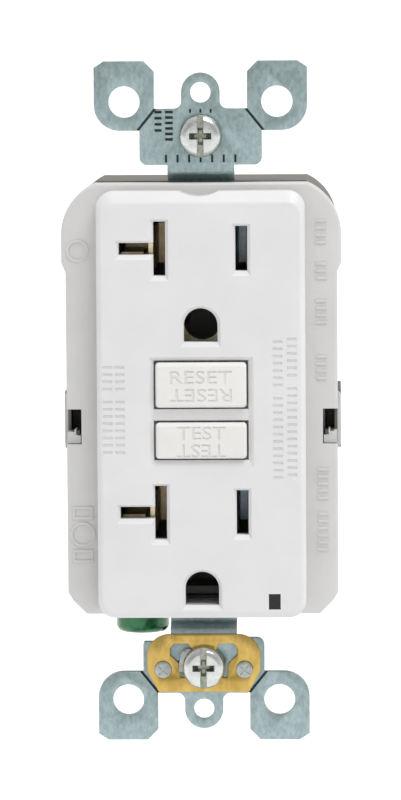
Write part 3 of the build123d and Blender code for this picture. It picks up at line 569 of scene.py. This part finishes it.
def makeFace():
    half = cover["faceHalf"]
    low = cover["front"] + cover["rimDrop"]
    piece = addBox((-half, half), (low, cover["flangeFront"] + 1), (cover["bottom"] + 0.05, cover["faceTop"]))
    pick(piece, "EDGE", lambda at, way: abs(way.y) > 0.9)
    roundPicked(cover["faceCorner"], 10)
    leaveEdit()
    pick(piece, "FACE", lambda at, normal: normal.y < -0.9)
    bpy.ops.mesh.inset(thickness=cover["rimWidth"] * mm)
    slide(y=-cover["rimDrop"])
    leaveEdit()
    browStart = cover["faceTop"] - cover["faceCorner"] - 0.1
    pick(piece, "VERT", lambda at, normal: at.y < low - 0.1 and at.z > browStart)
    slide(z=-cover["browWidth"])
    leaveEdit()
    pick(piece, "VERT", lambda at, normal: abs(at.y - low) < 0.01 and at.z > browStart)
    slide(y=cover["browDrop"])
    leaveEdit()
    edgeFront = cover["front"] + 0.01
    pick(piece, "EDGE", lambda at, way: at.y < edgeFront and abs(way.y) < 0.1)
    roundPicked(cover["faceRound"], 3)
    leaveEdit()
    return piece


def slotCutter(x, z):
    # straight through the face, with a flared mouth
    floor = cover["front"] + cover["faceThickness"] + 0.5
    mouth = cover["front"] + cover["leadIn"]
    piece = addBox(x, (mouth, floor), z)
    flareMouth(piece, x, z)
    return piece


def flareMouth(piece, x, z):
    wide = abs(x[1] - x[0])
    tall = abs(z[1] - z[0])
    lead = cover["leadIn"]
    level = cover["front"] + 0.01
    pick(piece, "FACE", lambda at, normal: normal.y < -0.9)
    pullOut(y=-lead)
    grow(1 + 2 * lead / wide, 1, 1 + 2 * lead / tall, (sum(x) / 2, 0, sum(z) / 2))
    leaveEdit()
    for pickSide, shift in ((1, -cover["lintelDrop"]), (-1, -cover["sillDrop"])):
        edge = (z[1] + lead / 2) if pickSide == 1 else (z[0] - lead / 2)
        pick(piece, "VERT", lambda at, normal: at.y < level and (at.z - edge) * pickSide > 0)
        slide(z=shift)
        leaveEdit()
    pick(piece, "FACE", lambda at, normal: normal.y < -0.9 and at.y < level)
    pullOut(y=-0.5)
    leaveEdit()


def groundCutter(z):
    # flat floor and a round top, for a round pin
    half = cover["groundHalf"]
    mouth = cover["front"] + cover["leadIn"]
    floor = cover["front"] + cover["faceThickness"] + 0.5
    piece = addBar("y", (0, z), half, (mouth, floor))
    cutAway(piece, (0, 0, z), (0, 0, -1))
    pick(piece, "FACE", lambda at, normal: normal.z < -0.9)
    pullOut(z=-half)
    leaveEdit()
    flareMouth(piece, (-half, half), (z - half, z + half))
    return piece


def pocketCutter():
    outer, inner = cover["pocketHalf"]
    (outerLow, outerHigh), (innerLow, innerHigh) = cover["pocketZ"]
    floor = cover["front"] + cover["pocketDepth"]
    piece = addBox((-inner, inner), (cover["front"], floor), (innerLow, innerHigh))
    pick(piece, "FACE", lambda at, normal: normal.y < -0.9)
    grow(outer / inner, 1, (outerHigh - outerLow) / (innerHigh - innerLow), (0, 0, 0))
    leaveEdit()
    pick(piece, "VERT", lambda at, normal: at.y < floor - 0.1)
    middle = (innerLow + innerHigh) / 2 * (outerHigh - outerLow) / (innerHigh - innerLow)
    slide(z=(outerLow + outerHigh) / 2 - middle)
    leaveEdit()
    pick(piece, "FACE", lambda at, normal: normal.y < -0.9)
    pullOut(y=-0.5)
    leaveEdit()
    return piece


def tickRow(x, top, count, width, front, height, pitch=1.12):
    # a run of plain ticks down a column, where there would be lettering
    piece = addBox((x - width / 2, x + width / 2), (front, front + height), (top - cover["tickTall"], top))
    makeActive(piece)
    run = piece.modifiers.new("run", "ARRAY")
    run.count = count
    run.use_relative_offset = False
    run.use_constant_offset = True
    run.constant_offset_displace = (0, 0, -pitch * mm)
    bpy.ops.object.modifier_apply(modifier=run.name)
    return piece


engraved = {  # column, top of each run and how many ticks it has
    -14.5: ((6.3, 4), (0.9, 8)),
    -12.6: ((6.3, 4), (0.9, 8)),
    11.9: ((10.2, 7), (1.4, 12)),
    14.1: ((10.6, 6), (2.9, 13)),
}
raised = {
    18.7: ((28.7, 4), (22.0, 3), (16.2, 4), (7.5, 4)),
    18.9: ((-10.2, 5), (-17.2, 6)),
}


def makeCoverMarks():
    # raised ticks and rings on the flange
    front = cover["flangeFront"] - cover["markProud"]
    marks = []
    for x, runs in raised.items():
        for top, count in runs:
            marks.append(tickRow(x, top, count, cover["raisedWidth"], front, cover["markDepth"]))
    rings = ((-19.3, 23.9, 1.75), (-18.8, -20.6, 1.95))
    for x, z, radius in rings:
        marks.append(addBar("y", (x, z), radius, (front, front + cover["markDepth"]), 40))
    for z in (-17.2, -24.0):
        marks.append(addBox((-20.4, -17.2), (front, front + cover["markDepth"]), (z - 1.0, z + 1.0)))
    for mark in marks[-4:]:  # the rings and frames have sunk middles
        pick(mark, "FACE", lambda at, normal: normal.y < -0.9)
        bpy.ops.mesh.inset(thickness=cover["markRim"] * mm)
        pullOut(y=0.2)
        leaveEdit()
    return joinPieces(marks)


def makeCover():
    piece = makeFlange()
    carve(piece, [makeFace()], "UNION")
    wall = cover["faceWall"]
    inside = cover["faceHalf"] - wall
    hollow = addBox(
        (-inside, inside),
        (cover["front"] + cover["faceThickness"], cover["back"] + 1),
        (cover["bottom"] + wall, cover["faceTop"] - wall),
    )
    carve(piece, [hollow])
    cutters = []
    armInner = cover["bladeX"] - cover["slotWidth"] / 2
    for row in cover["rows"]:
        half = cover["slotWidth"] / 2
        upright = slotCutter(
            (-cover["bladeX"] - half, -cover["bladeX"] + half),
            (row - cover["neutralHeight"] / 2, row + cover["neutralHeight"] / 2),
        )
        arm = slotCutter((-cover["armEnd"], -armInner - 0.4), (row - half, row + half))
        hot = slotCutter(
            (cover["bladeX"] - half, cover["bladeX"] + half),
            (row - cover["hotHeight"] / 2, row + cover["hotHeight"] / 2),
        )
        carve(upright, [arm], "UNION")
        cutters += [upright, hot, groundCutter(row - cover["groundDrop"])]
    carve(piece, cutters)
    carve(piece, [pocketCutter()])
    through = (cover["front"] - 1, cover["front"] + cover["faceThickness"] + 1)
    opening = cover["pocketHalf"][1]
    openings = [addBox((-opening, opening), through, cover[key]) for key in ("resetOpening", "testOpening")]
    openings.append(addBox(cover["lampX"], through, cover["lampZ"]))
    for side in (-1, 1):
        openings.append(addBox(
            (side * cover["notchInner"], side * (cover["wideHalf"] + 1)),
            (cover["flangeFront"] - 1, cover["back"] + 1),
            cover["notchZ"],
        ))
    openings.append(addBar(
        "y", (-0.2, cover["faceTop"] + cover["pryRadius"] - 0.8), cover["pryRadius"],
        (cover["front"] - 1, cover["flangeFront"] - 0.05), 96,
    ))
    carve(piece, openings)
    ticks = []
    tickFront = cover["front"] - 0.3
    tickDepth = 0.3 + cover["engravedDepth"]
    for x, runs in engraved.items():
        for top, count in runs:
            ticks.append(tickRow(x, top, count, cover["engravedWidth"], tickFront, tickDepth))
    carve(piece, ticks)
    return piece


coverShell = finishPiece(
    makeCover(), "front_cover_shell", "housing", whitePlastic, ["front_cover"], 30
)
coverShell.data.materials.append(shadedFlangePlastic)
for face in coverShell.data.polygons:  # the flange faces get a darker colour, painted shade from the raised face, and a satin gloss
    if face.center.y / mm > cover["flangeFront"] - 0.3:
        face.material_index = 1
# the raised marks on the flange wear the same painted shade
finishPiece(makeCoverMarks(), "front_cover_marks", "housing", shadedFlangePlastic)
print("cover made:", len(coverShell.data.polygons), "faces")

# ---- side latches that show in the notches and bulge past the flange
latch = {
    "outer": nodeSpan("back_body", "x")[1],
    "inner": 20.75,
    "z": (-7.4, 1.5),
    "y": (1.3, 8.0),
    "blockX": (19.0, 21.1),
    "blockZ": (-6.3, -4.5),
    "cornerRadius": 0.75,
    "edge": 0.12,
}


def makeLatch(side):
    boss = addBox((side * latch["inner"], side * latch["outer"]), latch["y"], latch["z"])
    pick(boss, "EDGE", lambda at, way: abs(way.y) > 0.9 and at.x * side > latch["outer"] - 0.1)
    roundPicked(latch["cornerRadius"], 6)
    leaveEdit()
    toe = addBox(
        (side * latch["blockX"][0], side * latch["blockX"][1]),
        (cover["flangeFront"] + 0.5, latch["y"][0] + 1),
        latch["blockZ"],
    )
    corner = addBar("y", (side * (latch["blockX"][0] + 0.1), latch["blockZ"][1] + 0.5), 1.1, (-9, 9))
    carve(toe, [corner])
    hook = addBox(
        (side * (latch["blockX"][0] + 0.75), side * (latch["blockX"][0] + 1.0)),
        (cover["flangeFront"] + 0.3, latch["y"][0] + 1),
        (latch["blockZ"][1] - 0.3, latch["blockZ"][1] + 0.35),
    )
    carve(boss, [toe], "UNION")
    carve(boss, [hook], "UNION")
    soften(boss, latch["edge"])
    return boss


for side, word in ((-1, "left"), (1, "right")):
    finishPiece(makeLatch(side), f"{word}_cover_latch", "housing", latchPlastic)

# ---- reset and test buttons
button = {
    "half": 7.05,
    "front": -8.0,
    "corner": 0.55,
    "rimDrop": 0.35,
    "rimWidth": 0.3,
    "browWidth": 0.3,
    "skirtHalf": 8.05,
    "skirtY": (-5.1, -3.7),
    "stemRadius": 2.0,
    "stemEnd": -2.1,
    "capTall": {"reset": 7.0, "test": 5.6},
    "letterHeight": 2.0,
    "letterWide": {"reset": 9.6, "test": 7.5},
    "rowGap": {"reset": 2.8, "test": 2.75},
    "letterDepth": 0.14,
}


def makeWord(word, wide, z, upsideDown):
    # generic function word in plain letters, as a cutter across the button's front
    bpy.ops.object.text_add(rotation=(math.pi / 2, math.pi if upsideDown else 0, 0))
    text = bpy.context.object
    text.data.body = word.upper()
    text.data.align_x = "CENTER"
    text.data.align_y = "CENTER"
    text.data.size = 3 * mm
    text.data.extrude = 0.5 * mm
    text.data.resolution_u = 3
    makeActive(text)
    bpy.ops.object.convert(target="MESH")
    applyPlace(text)
    pick(text, "VERT", lambda at, normal: True)
    bpy.ops.mesh.remove_doubles(threshold=0.001 * mm)
    leaveEdit()
    corners = [corner.co for corner in text.data.vertices]
    low = Vector([min(co[axis] for co in corners) for axis in range(3)])
    high = Vector([max(co[axis] for co in corners) for axis in range(3)])
    size = high - low
    text.scale = (wide * mm / size.x, 1, button["letterHeight"] * mm / size.z)
    middle = (low + high) / 2
    text.location = (
        -middle.x * text.scale.x,
        (button["front"] + button["letterDepth"] - 0.5) * mm - middle.y,
        z * mm - middle.z * text.scale.z,
    )
    applyPlace(text)
    return text


def makeButton(word):
    low, high = nodeSpan(f"{word}_button", "z")
    centre = (low + high) / 2
    tall = button["capTall"][word]
    faceStart = button["front"] + button["rimDrop"]
    cap = addBox(
        (-button["half"], button["half"]),
        (faceStart, button["skirtY"][1]),
        (centre - tall / 2, centre + tall / 2),
    )
    pick(cap, "EDGE", lambda at, way: abs(way.y) > 0.9)
    roundPicked(button["corner"], 5)
    leaveEdit()
    pick(cap, "FACE", lambda at, normal: normal.y < -0.9)
    bpy.ops.mesh.inset(thickness=button["rimWidth"] * mm)
    slide(y=-button["rimDrop"])
    leaveEdit()
    pick(cap, "VERT", lambda at, normal: at.y < faceStart - 0.1 and at.z > centre)
    slide(z=-button["browWidth"])
    leaveEdit()
    pick(cap, "EDGE", lambda at, way: at.y < button["front"] + 0.01 and abs(way.y) < 0.1)
    roundPicked(0.08, 2)
    leaveEdit()
    skirt = addBox((-button["skirtHalf"], button["skirtHalf"]), button["skirtY"], (low, high))
    soften(skirt, 0.25)
    stem = addBar("y", (0, centre), button["stemRadius"], (button["skirtY"][1] - 0.3, button["stemEnd"]), 40)
    carve(cap, [skirt], "UNION")
    carve(cap, [stem], "UNION")
    stemTip = nodeSpan(f"{word}_button", "y")[1]
    if stemTip > button["stemEnd"] + 0.5:
        pin = addBar("y", (0, centre), 1.3, (button["stemEnd"] - 0.3, stemTip), 32)
        carve(cap, [pin], "UNION")
    if word == "reset":
        bore = addBar("y", (0, centre), 1.1, (button["skirtY"][0], button["stemEnd"] + 1), 32)
        carve(cap, [bore])
    gap = button["rowGap"][word] / 2
    for offset, turned in ((gap, False), (-gap, True)):
        carve(cap, [makeWord(word, button["letterWide"][word], centre - 0.15 + offset, turned)])
    return cap


finishPiece(makeButton("reset"), "reset_button_cap", "reset_assembly", buttonPlastic,
            ["reset_button"], 30)
finishPiece(makeButton("test"), "test_button_cap", "test_assembly", buttonPlastic,
            ["test_button"], 30)
print("buttons made")

# ---- mounting strap with softened edges and stamped ticks
strap = {
    "front": nodeSpan("mounting_strap", "y")[0],
    "edge": 0.14,
    "stampDepth": 0.4,
    "groove": (0.3, 0.6),  # how deep a groove's or stamp's own floor may lie
    "grooveFrom": 37.4,  # nearest a groove comes to the middle of the device
    "stampRows": ((-6.6, 4, 1.1, 0.95), (-4.9, 6, 1.2, 0.85)),  # x, count, width and pitch
    "stampTop": 45.6,
}


def makeStrap():
    piece = copyNode("mounting_strap")
    soften(piece, strap["edge"])
    front = strap["front"] - 0.5
    deep = 0.5 + strap["stampDepth"]
    stamps = [
        tickRow(x, strap["stampTop"], count, width, front, deep, pitch)
        for x, count, width, pitch in strap["stampRows"]
    ]
    for index in range(7):  # under the screw
        x = -5.4 + 1.8 * index
        stamps.append(addBox((x - 0.17, x + 0.17), (front, front + deep), (37.55, 38.75)))
    for index in range(3):  # above it
        x = -1.6 + 1.6 * index
        stamps.append(addBox((x - 0.15, x + 0.15), (front, front + deep), (45.25, 45.85)))
    carve(piece, stamps)
    return piece


def inGroove(corners, normal):
    deepest = max(at.y for at in corners) - strap["front"]
    shallow, deep = strap["groove"]
    return shallow < deepest < deep and min(abs(at.z) for at in corners) > strap["grooveFrom"]


strapPlate = finishPiece(
    makeStrap(), "mounting_strap_plate", "housing", zincSteel, ["mounting_strap"], 30
)
# the groove and stamp floors get a darker, duller steel; the darker colour is painted shade in the grooves
paintFaces(strapPlate, grooveShadeSteel, inGroove)
print("strap made")

# ---- self-grounding clip, its staked rivets and the spring tab beside the screw
clip = {
    "front": nodeSpan("self_ground_clip", "y")[0],
    "edge": 0.1,
    "rivetX": 6.4,
    "rivetZ": -42.1,
    "rivetProud": 0.35,
    "rivetRound": 0.16,
    "strokeHalf": 0.13,
    "strokeAngles": (40, -50),
    "stampX": (-3.2, -2.0, -0.8, 0.4, 1.6, 2.8),
    "stampZ": (-37.6, -36.85),
    "stampDepth": 0.1,
    "tabX": (-3.9, -2.2),
    "tabProud": (0.35, 0.05),
    "tabZ": (-42.4, -41.2),
    "tabRound": 0.08,
}


def makeClip():
    piece = copyNode("self_ground_clip")
    soften(piece, clip["edge"])
    across = (clip["front"] - 0.5, clip["front"] + clip["stampDepth"])
    stamps = [addBox((x - 0.3, x + 0.3), across, clip["stampZ"]) for x in clip["stampX"]]
    carve(piece, stamps)
    return piece


def makeRivets():
    # staked heads: low buttons struck with a cross
    piece = copyNode("strap_rivets")
    front = clip["front"] - clip["rivetProud"]
    pick(piece, "EDGE", lambda at, way: at.y < front + 0.01)
    roundPicked(clip["rivetRound"], 2)
    leaveEdit()
    for side in (-1, 1):
        for angle in clip["strokeAngles"]:
            half = clip["strokeHalf"]
            stroke = addBox((-half, half), (front - 0.3, front + 0.2), (-1.0, 1.0))
            stroke.rotation_euler = Euler((0, math.radians(angle), 0))
            stroke.location = (side * clip["rivetX"] * mm, 0, clip["rivetZ"] * mm)
            applyPlace(stroke)
            carve(piece, [stroke])
    return piece


def makeSpringTab():
    # thin wire tab that presses on the screw from its left
    front = clip["front"]
    proud, lift = clip["tabProud"]
    piece = addBox(clip["tabX"], (front - proud, front - lift), clip["tabZ"])
    pick(piece, "FACE", lambda at, normal: normal.z > 0.9)
    pullOut(x=0.25, y=-0.25, z=1.6)
    pullOut(x=0.35, y=-0.1, z=0.9)
    grow(0.6, 1, 1, (-2.6, 0, -38.8))
    leaveEdit()
    soften(piece, clip["tabRound"])
    return piece


finishPiece(makeClip(), "self_ground_clip_plate", "housing", clipBrass, ["self_ground_clip"], 30)
finishPiece(makeSpringTab(), "self_ground_spring_tab", "housing", springSteel)
finishPiece(makeRivets(), "strap_rivet_heads", "housing", clampSteel, ["strap_rivets"])
print("ground clip made")

# ---- screws: head towards -Y, underside of the head at the origin, then turned into place
screws = {
    "box": {
        "headRadius": 3.35, "headHeight": 2.0, "dome": 1.25, "neckRadius": 1.35, "neckLength": 2.6,
        "threadRadius": 1.75, "threadLength": 19.7, "pitch": 0.794, "threadDepth": 0.3,
        "slotWidth": 1.05, "slotDepth": 0.7, "crossReach": 2.0, "crossWidth": 1.15, "crossDepth": 1.5,
    },
    "terminal": {
        "headRadius": 3.9, "headHeight": 2.15, "dome": 0.5, "neckRadius": 1.7, "neckLength": 0.2,
        "threadRadius": 2.08, "threadLength": 5.35, "pitch": 0.794, "threadDepth": 0.32,
        "slotWidth": 1.1, "slotDepth": 0.7, "crossReach": 1.9, "crossWidth": 1.1, "crossDepth": 1.3,
    },
    "ground": {
        "headRadius": 4.2, "headHeight": 2.6, "dome": 1.1, "neckRadius": 1.7, "neckLength": 0.2,
        "threadRadius": 2.08, "threadLength": 2.9, "pitch": 0.794, "threadDepth": 0.32,
        "slotWidth": 1.1, "slotDepth": 0.9, "crossReach": 0,
    },
    "assembly": {
        "headRadius": 2.5, "headHeight": 1.4, "dome": 0.5, "neckRadius": 1.15, "neckLength": 0.3,
        "threadRadius": 1.4, "threadLength": 26.0, "pitch": 1.27, "threadDepth": 0.32,
        "slotWidth": 0, "slotDepth": 0, "crossReach": 1.45, "crossWidth": 0.7, "crossDepth": 0.9,
    },
}


def makeScrew(kind):
    size = screws[kind]
    neckEnd = size["neckLength"]
    threadEnd = neckEnd + size["threadLength"]
    piece = addBar("y", (0, 0), size["neckRadius"], (0, neckEnd), 32)
    pick(piece, "FACE", lambda at, normal: normal.y > 0.9)
    pullOut()
    grow(size["threadRadius"] / size["neckRadius"], 1, size["threadRadius"] / size["neckRadius"], (0, 0, 0))
    pullOut(y=size["threadLength"] - 0.5)
    pullOut(y=0.5)
    grow(0.62, 1, 0.62, (0, 0, 0))
    leaveEdit()
    runMiddle = neckEnd + (size["threadLength"] - 0.5) / 2
    pick(piece, "EDGE", lambda at, way: abs(way.y) > 0.99 and abs(at.y - runMiddle) < 0.1)
    rings = max(2, round(size["threadLength"] / size["pitch"] * 6))
    bpy.ops.mesh.subdivide(number_cuts=rings)
    leaveEdit()
    for corner in piece.data.vertices:  # one start of helical thread, cut into the round shank
        at = corner.co / mm
        if neckEnd + 0.2 < at.y < threadEnd - 0.6:
            turn = math.atan2(at.z, at.x) / (2 * math.pi)
            phase = (at.y / size["pitch"] - turn) % 1
            depth = size["threadDepth"] * (1 - abs(2 * phase - 1))
            shrink = 1 - depth / size["threadRadius"]
            corner.co.x *= shrink
            corner.co.z *= shrink
    pick(piece, "FACE", lambda at, normal: normal.y < -0.9 and at.y < 0.01)
    pullOut()
    grow(size["headRadius"] / size["neckRadius"], 1, size["headRadius"] / size["neckRadius"], (0, 0, 0))
    pullOut(y=-size["headHeight"])
    leaveEdit()
    pick(piece, "EDGE", lambda at, way: at.y < -size["headHeight"] + 0.01)
    roundPicked(size["dome"], 7)
    leaveEdit()
    front = -size["headHeight"]
    cutters = []
    if size["slotDepth"]:
        half = size["slotWidth"] / 2
        slotBox = addBox((-half, half), (front - 1, front + size["slotDepth"]), (-9, 9))
        cutters.append(slotBox)
    if size["crossReach"]:
        reach, half = size["crossReach"], size["crossWidth"] / 2
        for wide, tall in ((reach, half), (half, reach)):
            arm = addBox((-wide, wide), (front - 0.5, front + size["crossDepth"]), (-tall, tall))
            pick(arm, "FACE", lambda at, normal: normal.y > 0.9)
            grow(0.45, 1, 0.45, (0, 0, 0))
            leaveEdit()
            cutters.append(arm)
        well = addBar("y", (0, 0), half * 1.35, (front - 0.5, front + size["crossDepth"] + 0.25), 8)
        pick(well, "FACE", lambda at, normal: normal.y > 0.9)
        grow(0.3, 1, 0.3, (0, 0, 0))
        leaveEdit()
        cutters.append(well)
    for cutter in cutters:
        carve(piece, [cutter])
    pick(piece, "VERT", lambda at, normal: True)
    bpy.ops.mesh.remove_doubles(threshold=0.002 * mm)
    leaveEdit()
    return piece


def placeScrew(source, place, turn):
    piece = copyPiece(source)
    piece.rotation_euler = Euler([math.radians(angle) for angle in turn])
    piece.location = [value * mm for value in place]
    applyPlace(piece)
    return piece


def shadeAndRoughenRecess(piece, front, middle):
    # rougher and darker steel on the floor of the slot and inside the cross of a box screw; the darker colour
    # is painted shade in the recess
    size = screws["box"]

    def inRecess(corners, normal):
        depths = [at.y - front for at in corners]
        reach = max(math.hypot(at.x, at.z - middle) for at in corners)
        slotFloor = normal.y < -0.95 and min(depths) > size["slotDepth"] - 0.1
        inCross = max(depths) > size["slotDepth"] + 0.02 and reach < size["crossReach"] + 0.2
        return max(depths) < size["headHeight"] - 0.1 and (slotFloor or inCross)

    paintFaces(piece, recessShadeSteel, inRecess)


boxScrew = makeScrew("box")
for end, word in ((1, "upper"), (-1, "lower")):
    low, high = nodeSpan(f"{word}_box_screw", "y")
    seat = low + screws["box"]["headHeight"]
    middle = sum(nodeSpan(f"{word}_box_screw", "z")) / 2
    piece = placeScrew(boxScrew, (0, seat, middle), (0, 0, 0))
    cutAway(piece, (0, high - 0.05, 0), (0, 1, 0))
    finishPiece(piece, f"{word}_mounting_screw", f"{word}_screw", nickelSteel,
                [f"{word}_box_screw"], 40)
    shadeAndRoughenRecess(piece, low, middle)
bpy.data.objects.remove(boxScrew)

terminalScrew = makeScrew("terminal")
for side, pole in ((-1, "neutral"), (1, "hot")):
    for feed in ("line", "load"):
        node = f"{feed}_{pole}_screw"
        low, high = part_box(node)
        head = max(abs(low.x), abs(high.x)) / mm
        seat = side * (head - screws["terminal"]["headHeight"])
        place = (seat, (low.y + high.y) / 2 / mm, (low.z + high.z) / 2 / mm)
        piece = placeScrew(terminalScrew, place, (0, 0, side * 90))
        material, slot = (brassScrew, "brass_screw") if pole == "hot" else (nickelSteel, "nickel_screw")
        body = f"{feed}_{pole}_screw_body"
        finishPiece(piece, f"{feed}_{pole}_wire_screw", body, material, [node], 40)
bpy.data.objects.remove(terminalScrew)

groundSource = makeScrew("ground")
low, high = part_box("ground_screw")
groundSeat = low.z / mm + screws["ground"]["headHeight"]
place = ((low.x + high.x) / 2 / mm, (low.y + high.y) / 2 / mm, groundSeat)
finishPiece(placeScrew(groundSource, place, (90, 0, 62)), "green_ground_screw", "green_screw_body",
            greenScrew, ["ground_screw"], 40)
bpy.data.objects.remove(groundSource)

assemblySource = makeScrew("assembly")
low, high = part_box("assembly_screws")
spread = screws["assembly"]["headRadius"]
rearSeat = high.y / mm - screws["assembly"]["headHeight"]
rears = []
for x in (low.x / mm + spread, high.x / mm - spread):
    for z in (low.z / mm + spread, high.z / mm - spread):
        rears.append(placeScrew(assemblySource, (x, rearSeat, z), (0, 0, 180)))
finishPiece(
    joinPieces(rears), "rear_assembly_screws", "housing", clampSteel, ["assembly_screws"], 40
)
bpy.data.objects.remove(assemblySource)
print("screws made")

# ---- floor, light and camera
studio = {
    "floorSize": 900.0,
    "floorHeight": -0.16,
    "sunStrength": 1.9,
    "sunAngle": 34,
    "worldNear": "#c9c9c9",
    "worldFar": "#ffffff",
    "worldStrength": 0.95,
    "fade": (-0.8, 0.2),
    "sunDirection": (-0.35, 0.4, -1.0),
}
bpy.ops.mesh.primitive_plane_add(size=studio["floorSize"], location=(0, 0, studio["floorHeight"]))
floor = bpy.context.object
floor.name = "floor"
floorPaint, floorShader = startMaterial("matt_white_floor_paint", {"Roughness": 0.9})
floorShader.inputs["Base Color"].default_value = hexColour("#fafafa")
floor.data.materials.append(floorPaint)

world = bpy.data.worlds.new("studio")
bpy.context.scene.world = world
world.use_nodes = True
sky = world.node_tree.nodes["Background"]
ways = addNode(world, "ShaderNodeTexCoord").outputs["Generated"]
split = addNode(world, "ShaderNodeSeparateXYZ", links={"Vector": ways}).outputs["Y"]
fade = addNode(
    world,
    "ShaderNodeMapRange",
    values={"From Min": studio["fade"][0], "From Max": studio["fade"][1]},
    links={"Value": split},
)
shell = addNode(world, "ShaderNodeValToRGB", links={"Fac": fade.outputs["Result"]})
shell.color_ramp.elements[0].color = hexColour(studio["worldNear"])
shell.color_ramp.elements[1].color = hexColour(studio["worldFar"])
world.node_tree.links.new(shell.outputs["Color"], sky.inputs["Color"])
sky.inputs["Strength"].default_value = studio["worldStrength"]


def addSun(name, strength, direction, angle):
    lamp = bpy.data.lights.new(name, "SUN")
    lamp.energy = strength
    lamp.angle = math.radians(angle)
    holder = bpy.data.objects.new(name, lamp)
    bpy.context.scene.collection.objects.link(holder)
    holder.rotation_euler = Vector(direction).to_track_quat("-Z", "Y").to_euler()
    return holder


addSun("overheadSoftbox", studio["sunStrength"], studio["sunDirection"], studio["sunAngle"])

camera = {
    "azimuth": 1.72,
    "elevation": 5.2,
    "distance": 700,
    "roll": -0.37,
    "lens": 200.96,
    "sensor": 36,
    "shift": (-0.0024625, 0.00215),
}
lensData = bpy.data.cameras.new("viewCamera")
lensData.lens = camera["lens"]
lensData.sensor_width = camera["sensor"]
lensData.clip_end = 2000
lensData.shift_x, lensData.shift_y = camera["shift"]
viewCamera = bpy.data.objects.new("viewCamera", lensData)
bpy.context.scene.collection.objects.link(viewCamera)
side, lift = math.radians(camera["azimuth"]), math.radians(camera["elevation"])
back = Vector((math.sin(side) * math.cos(lift), -math.cos(side) * math.cos(lift), math.sin(lift)))
viewCamera.location = back * camera["distance"] * mm
aim = (-back).to_track_quat("-Z", "Y") @ Quaternion((0, 0, 1), math.radians(camera["roll"]))
viewCamera.rotation_mode = "QUATERNION"
viewCamera.rotation_quaternion = aim
bpy.context.scene.camera = viewCamera
bpy.context.scene.view_settings.view_transform = "Standard"
print("studio made")
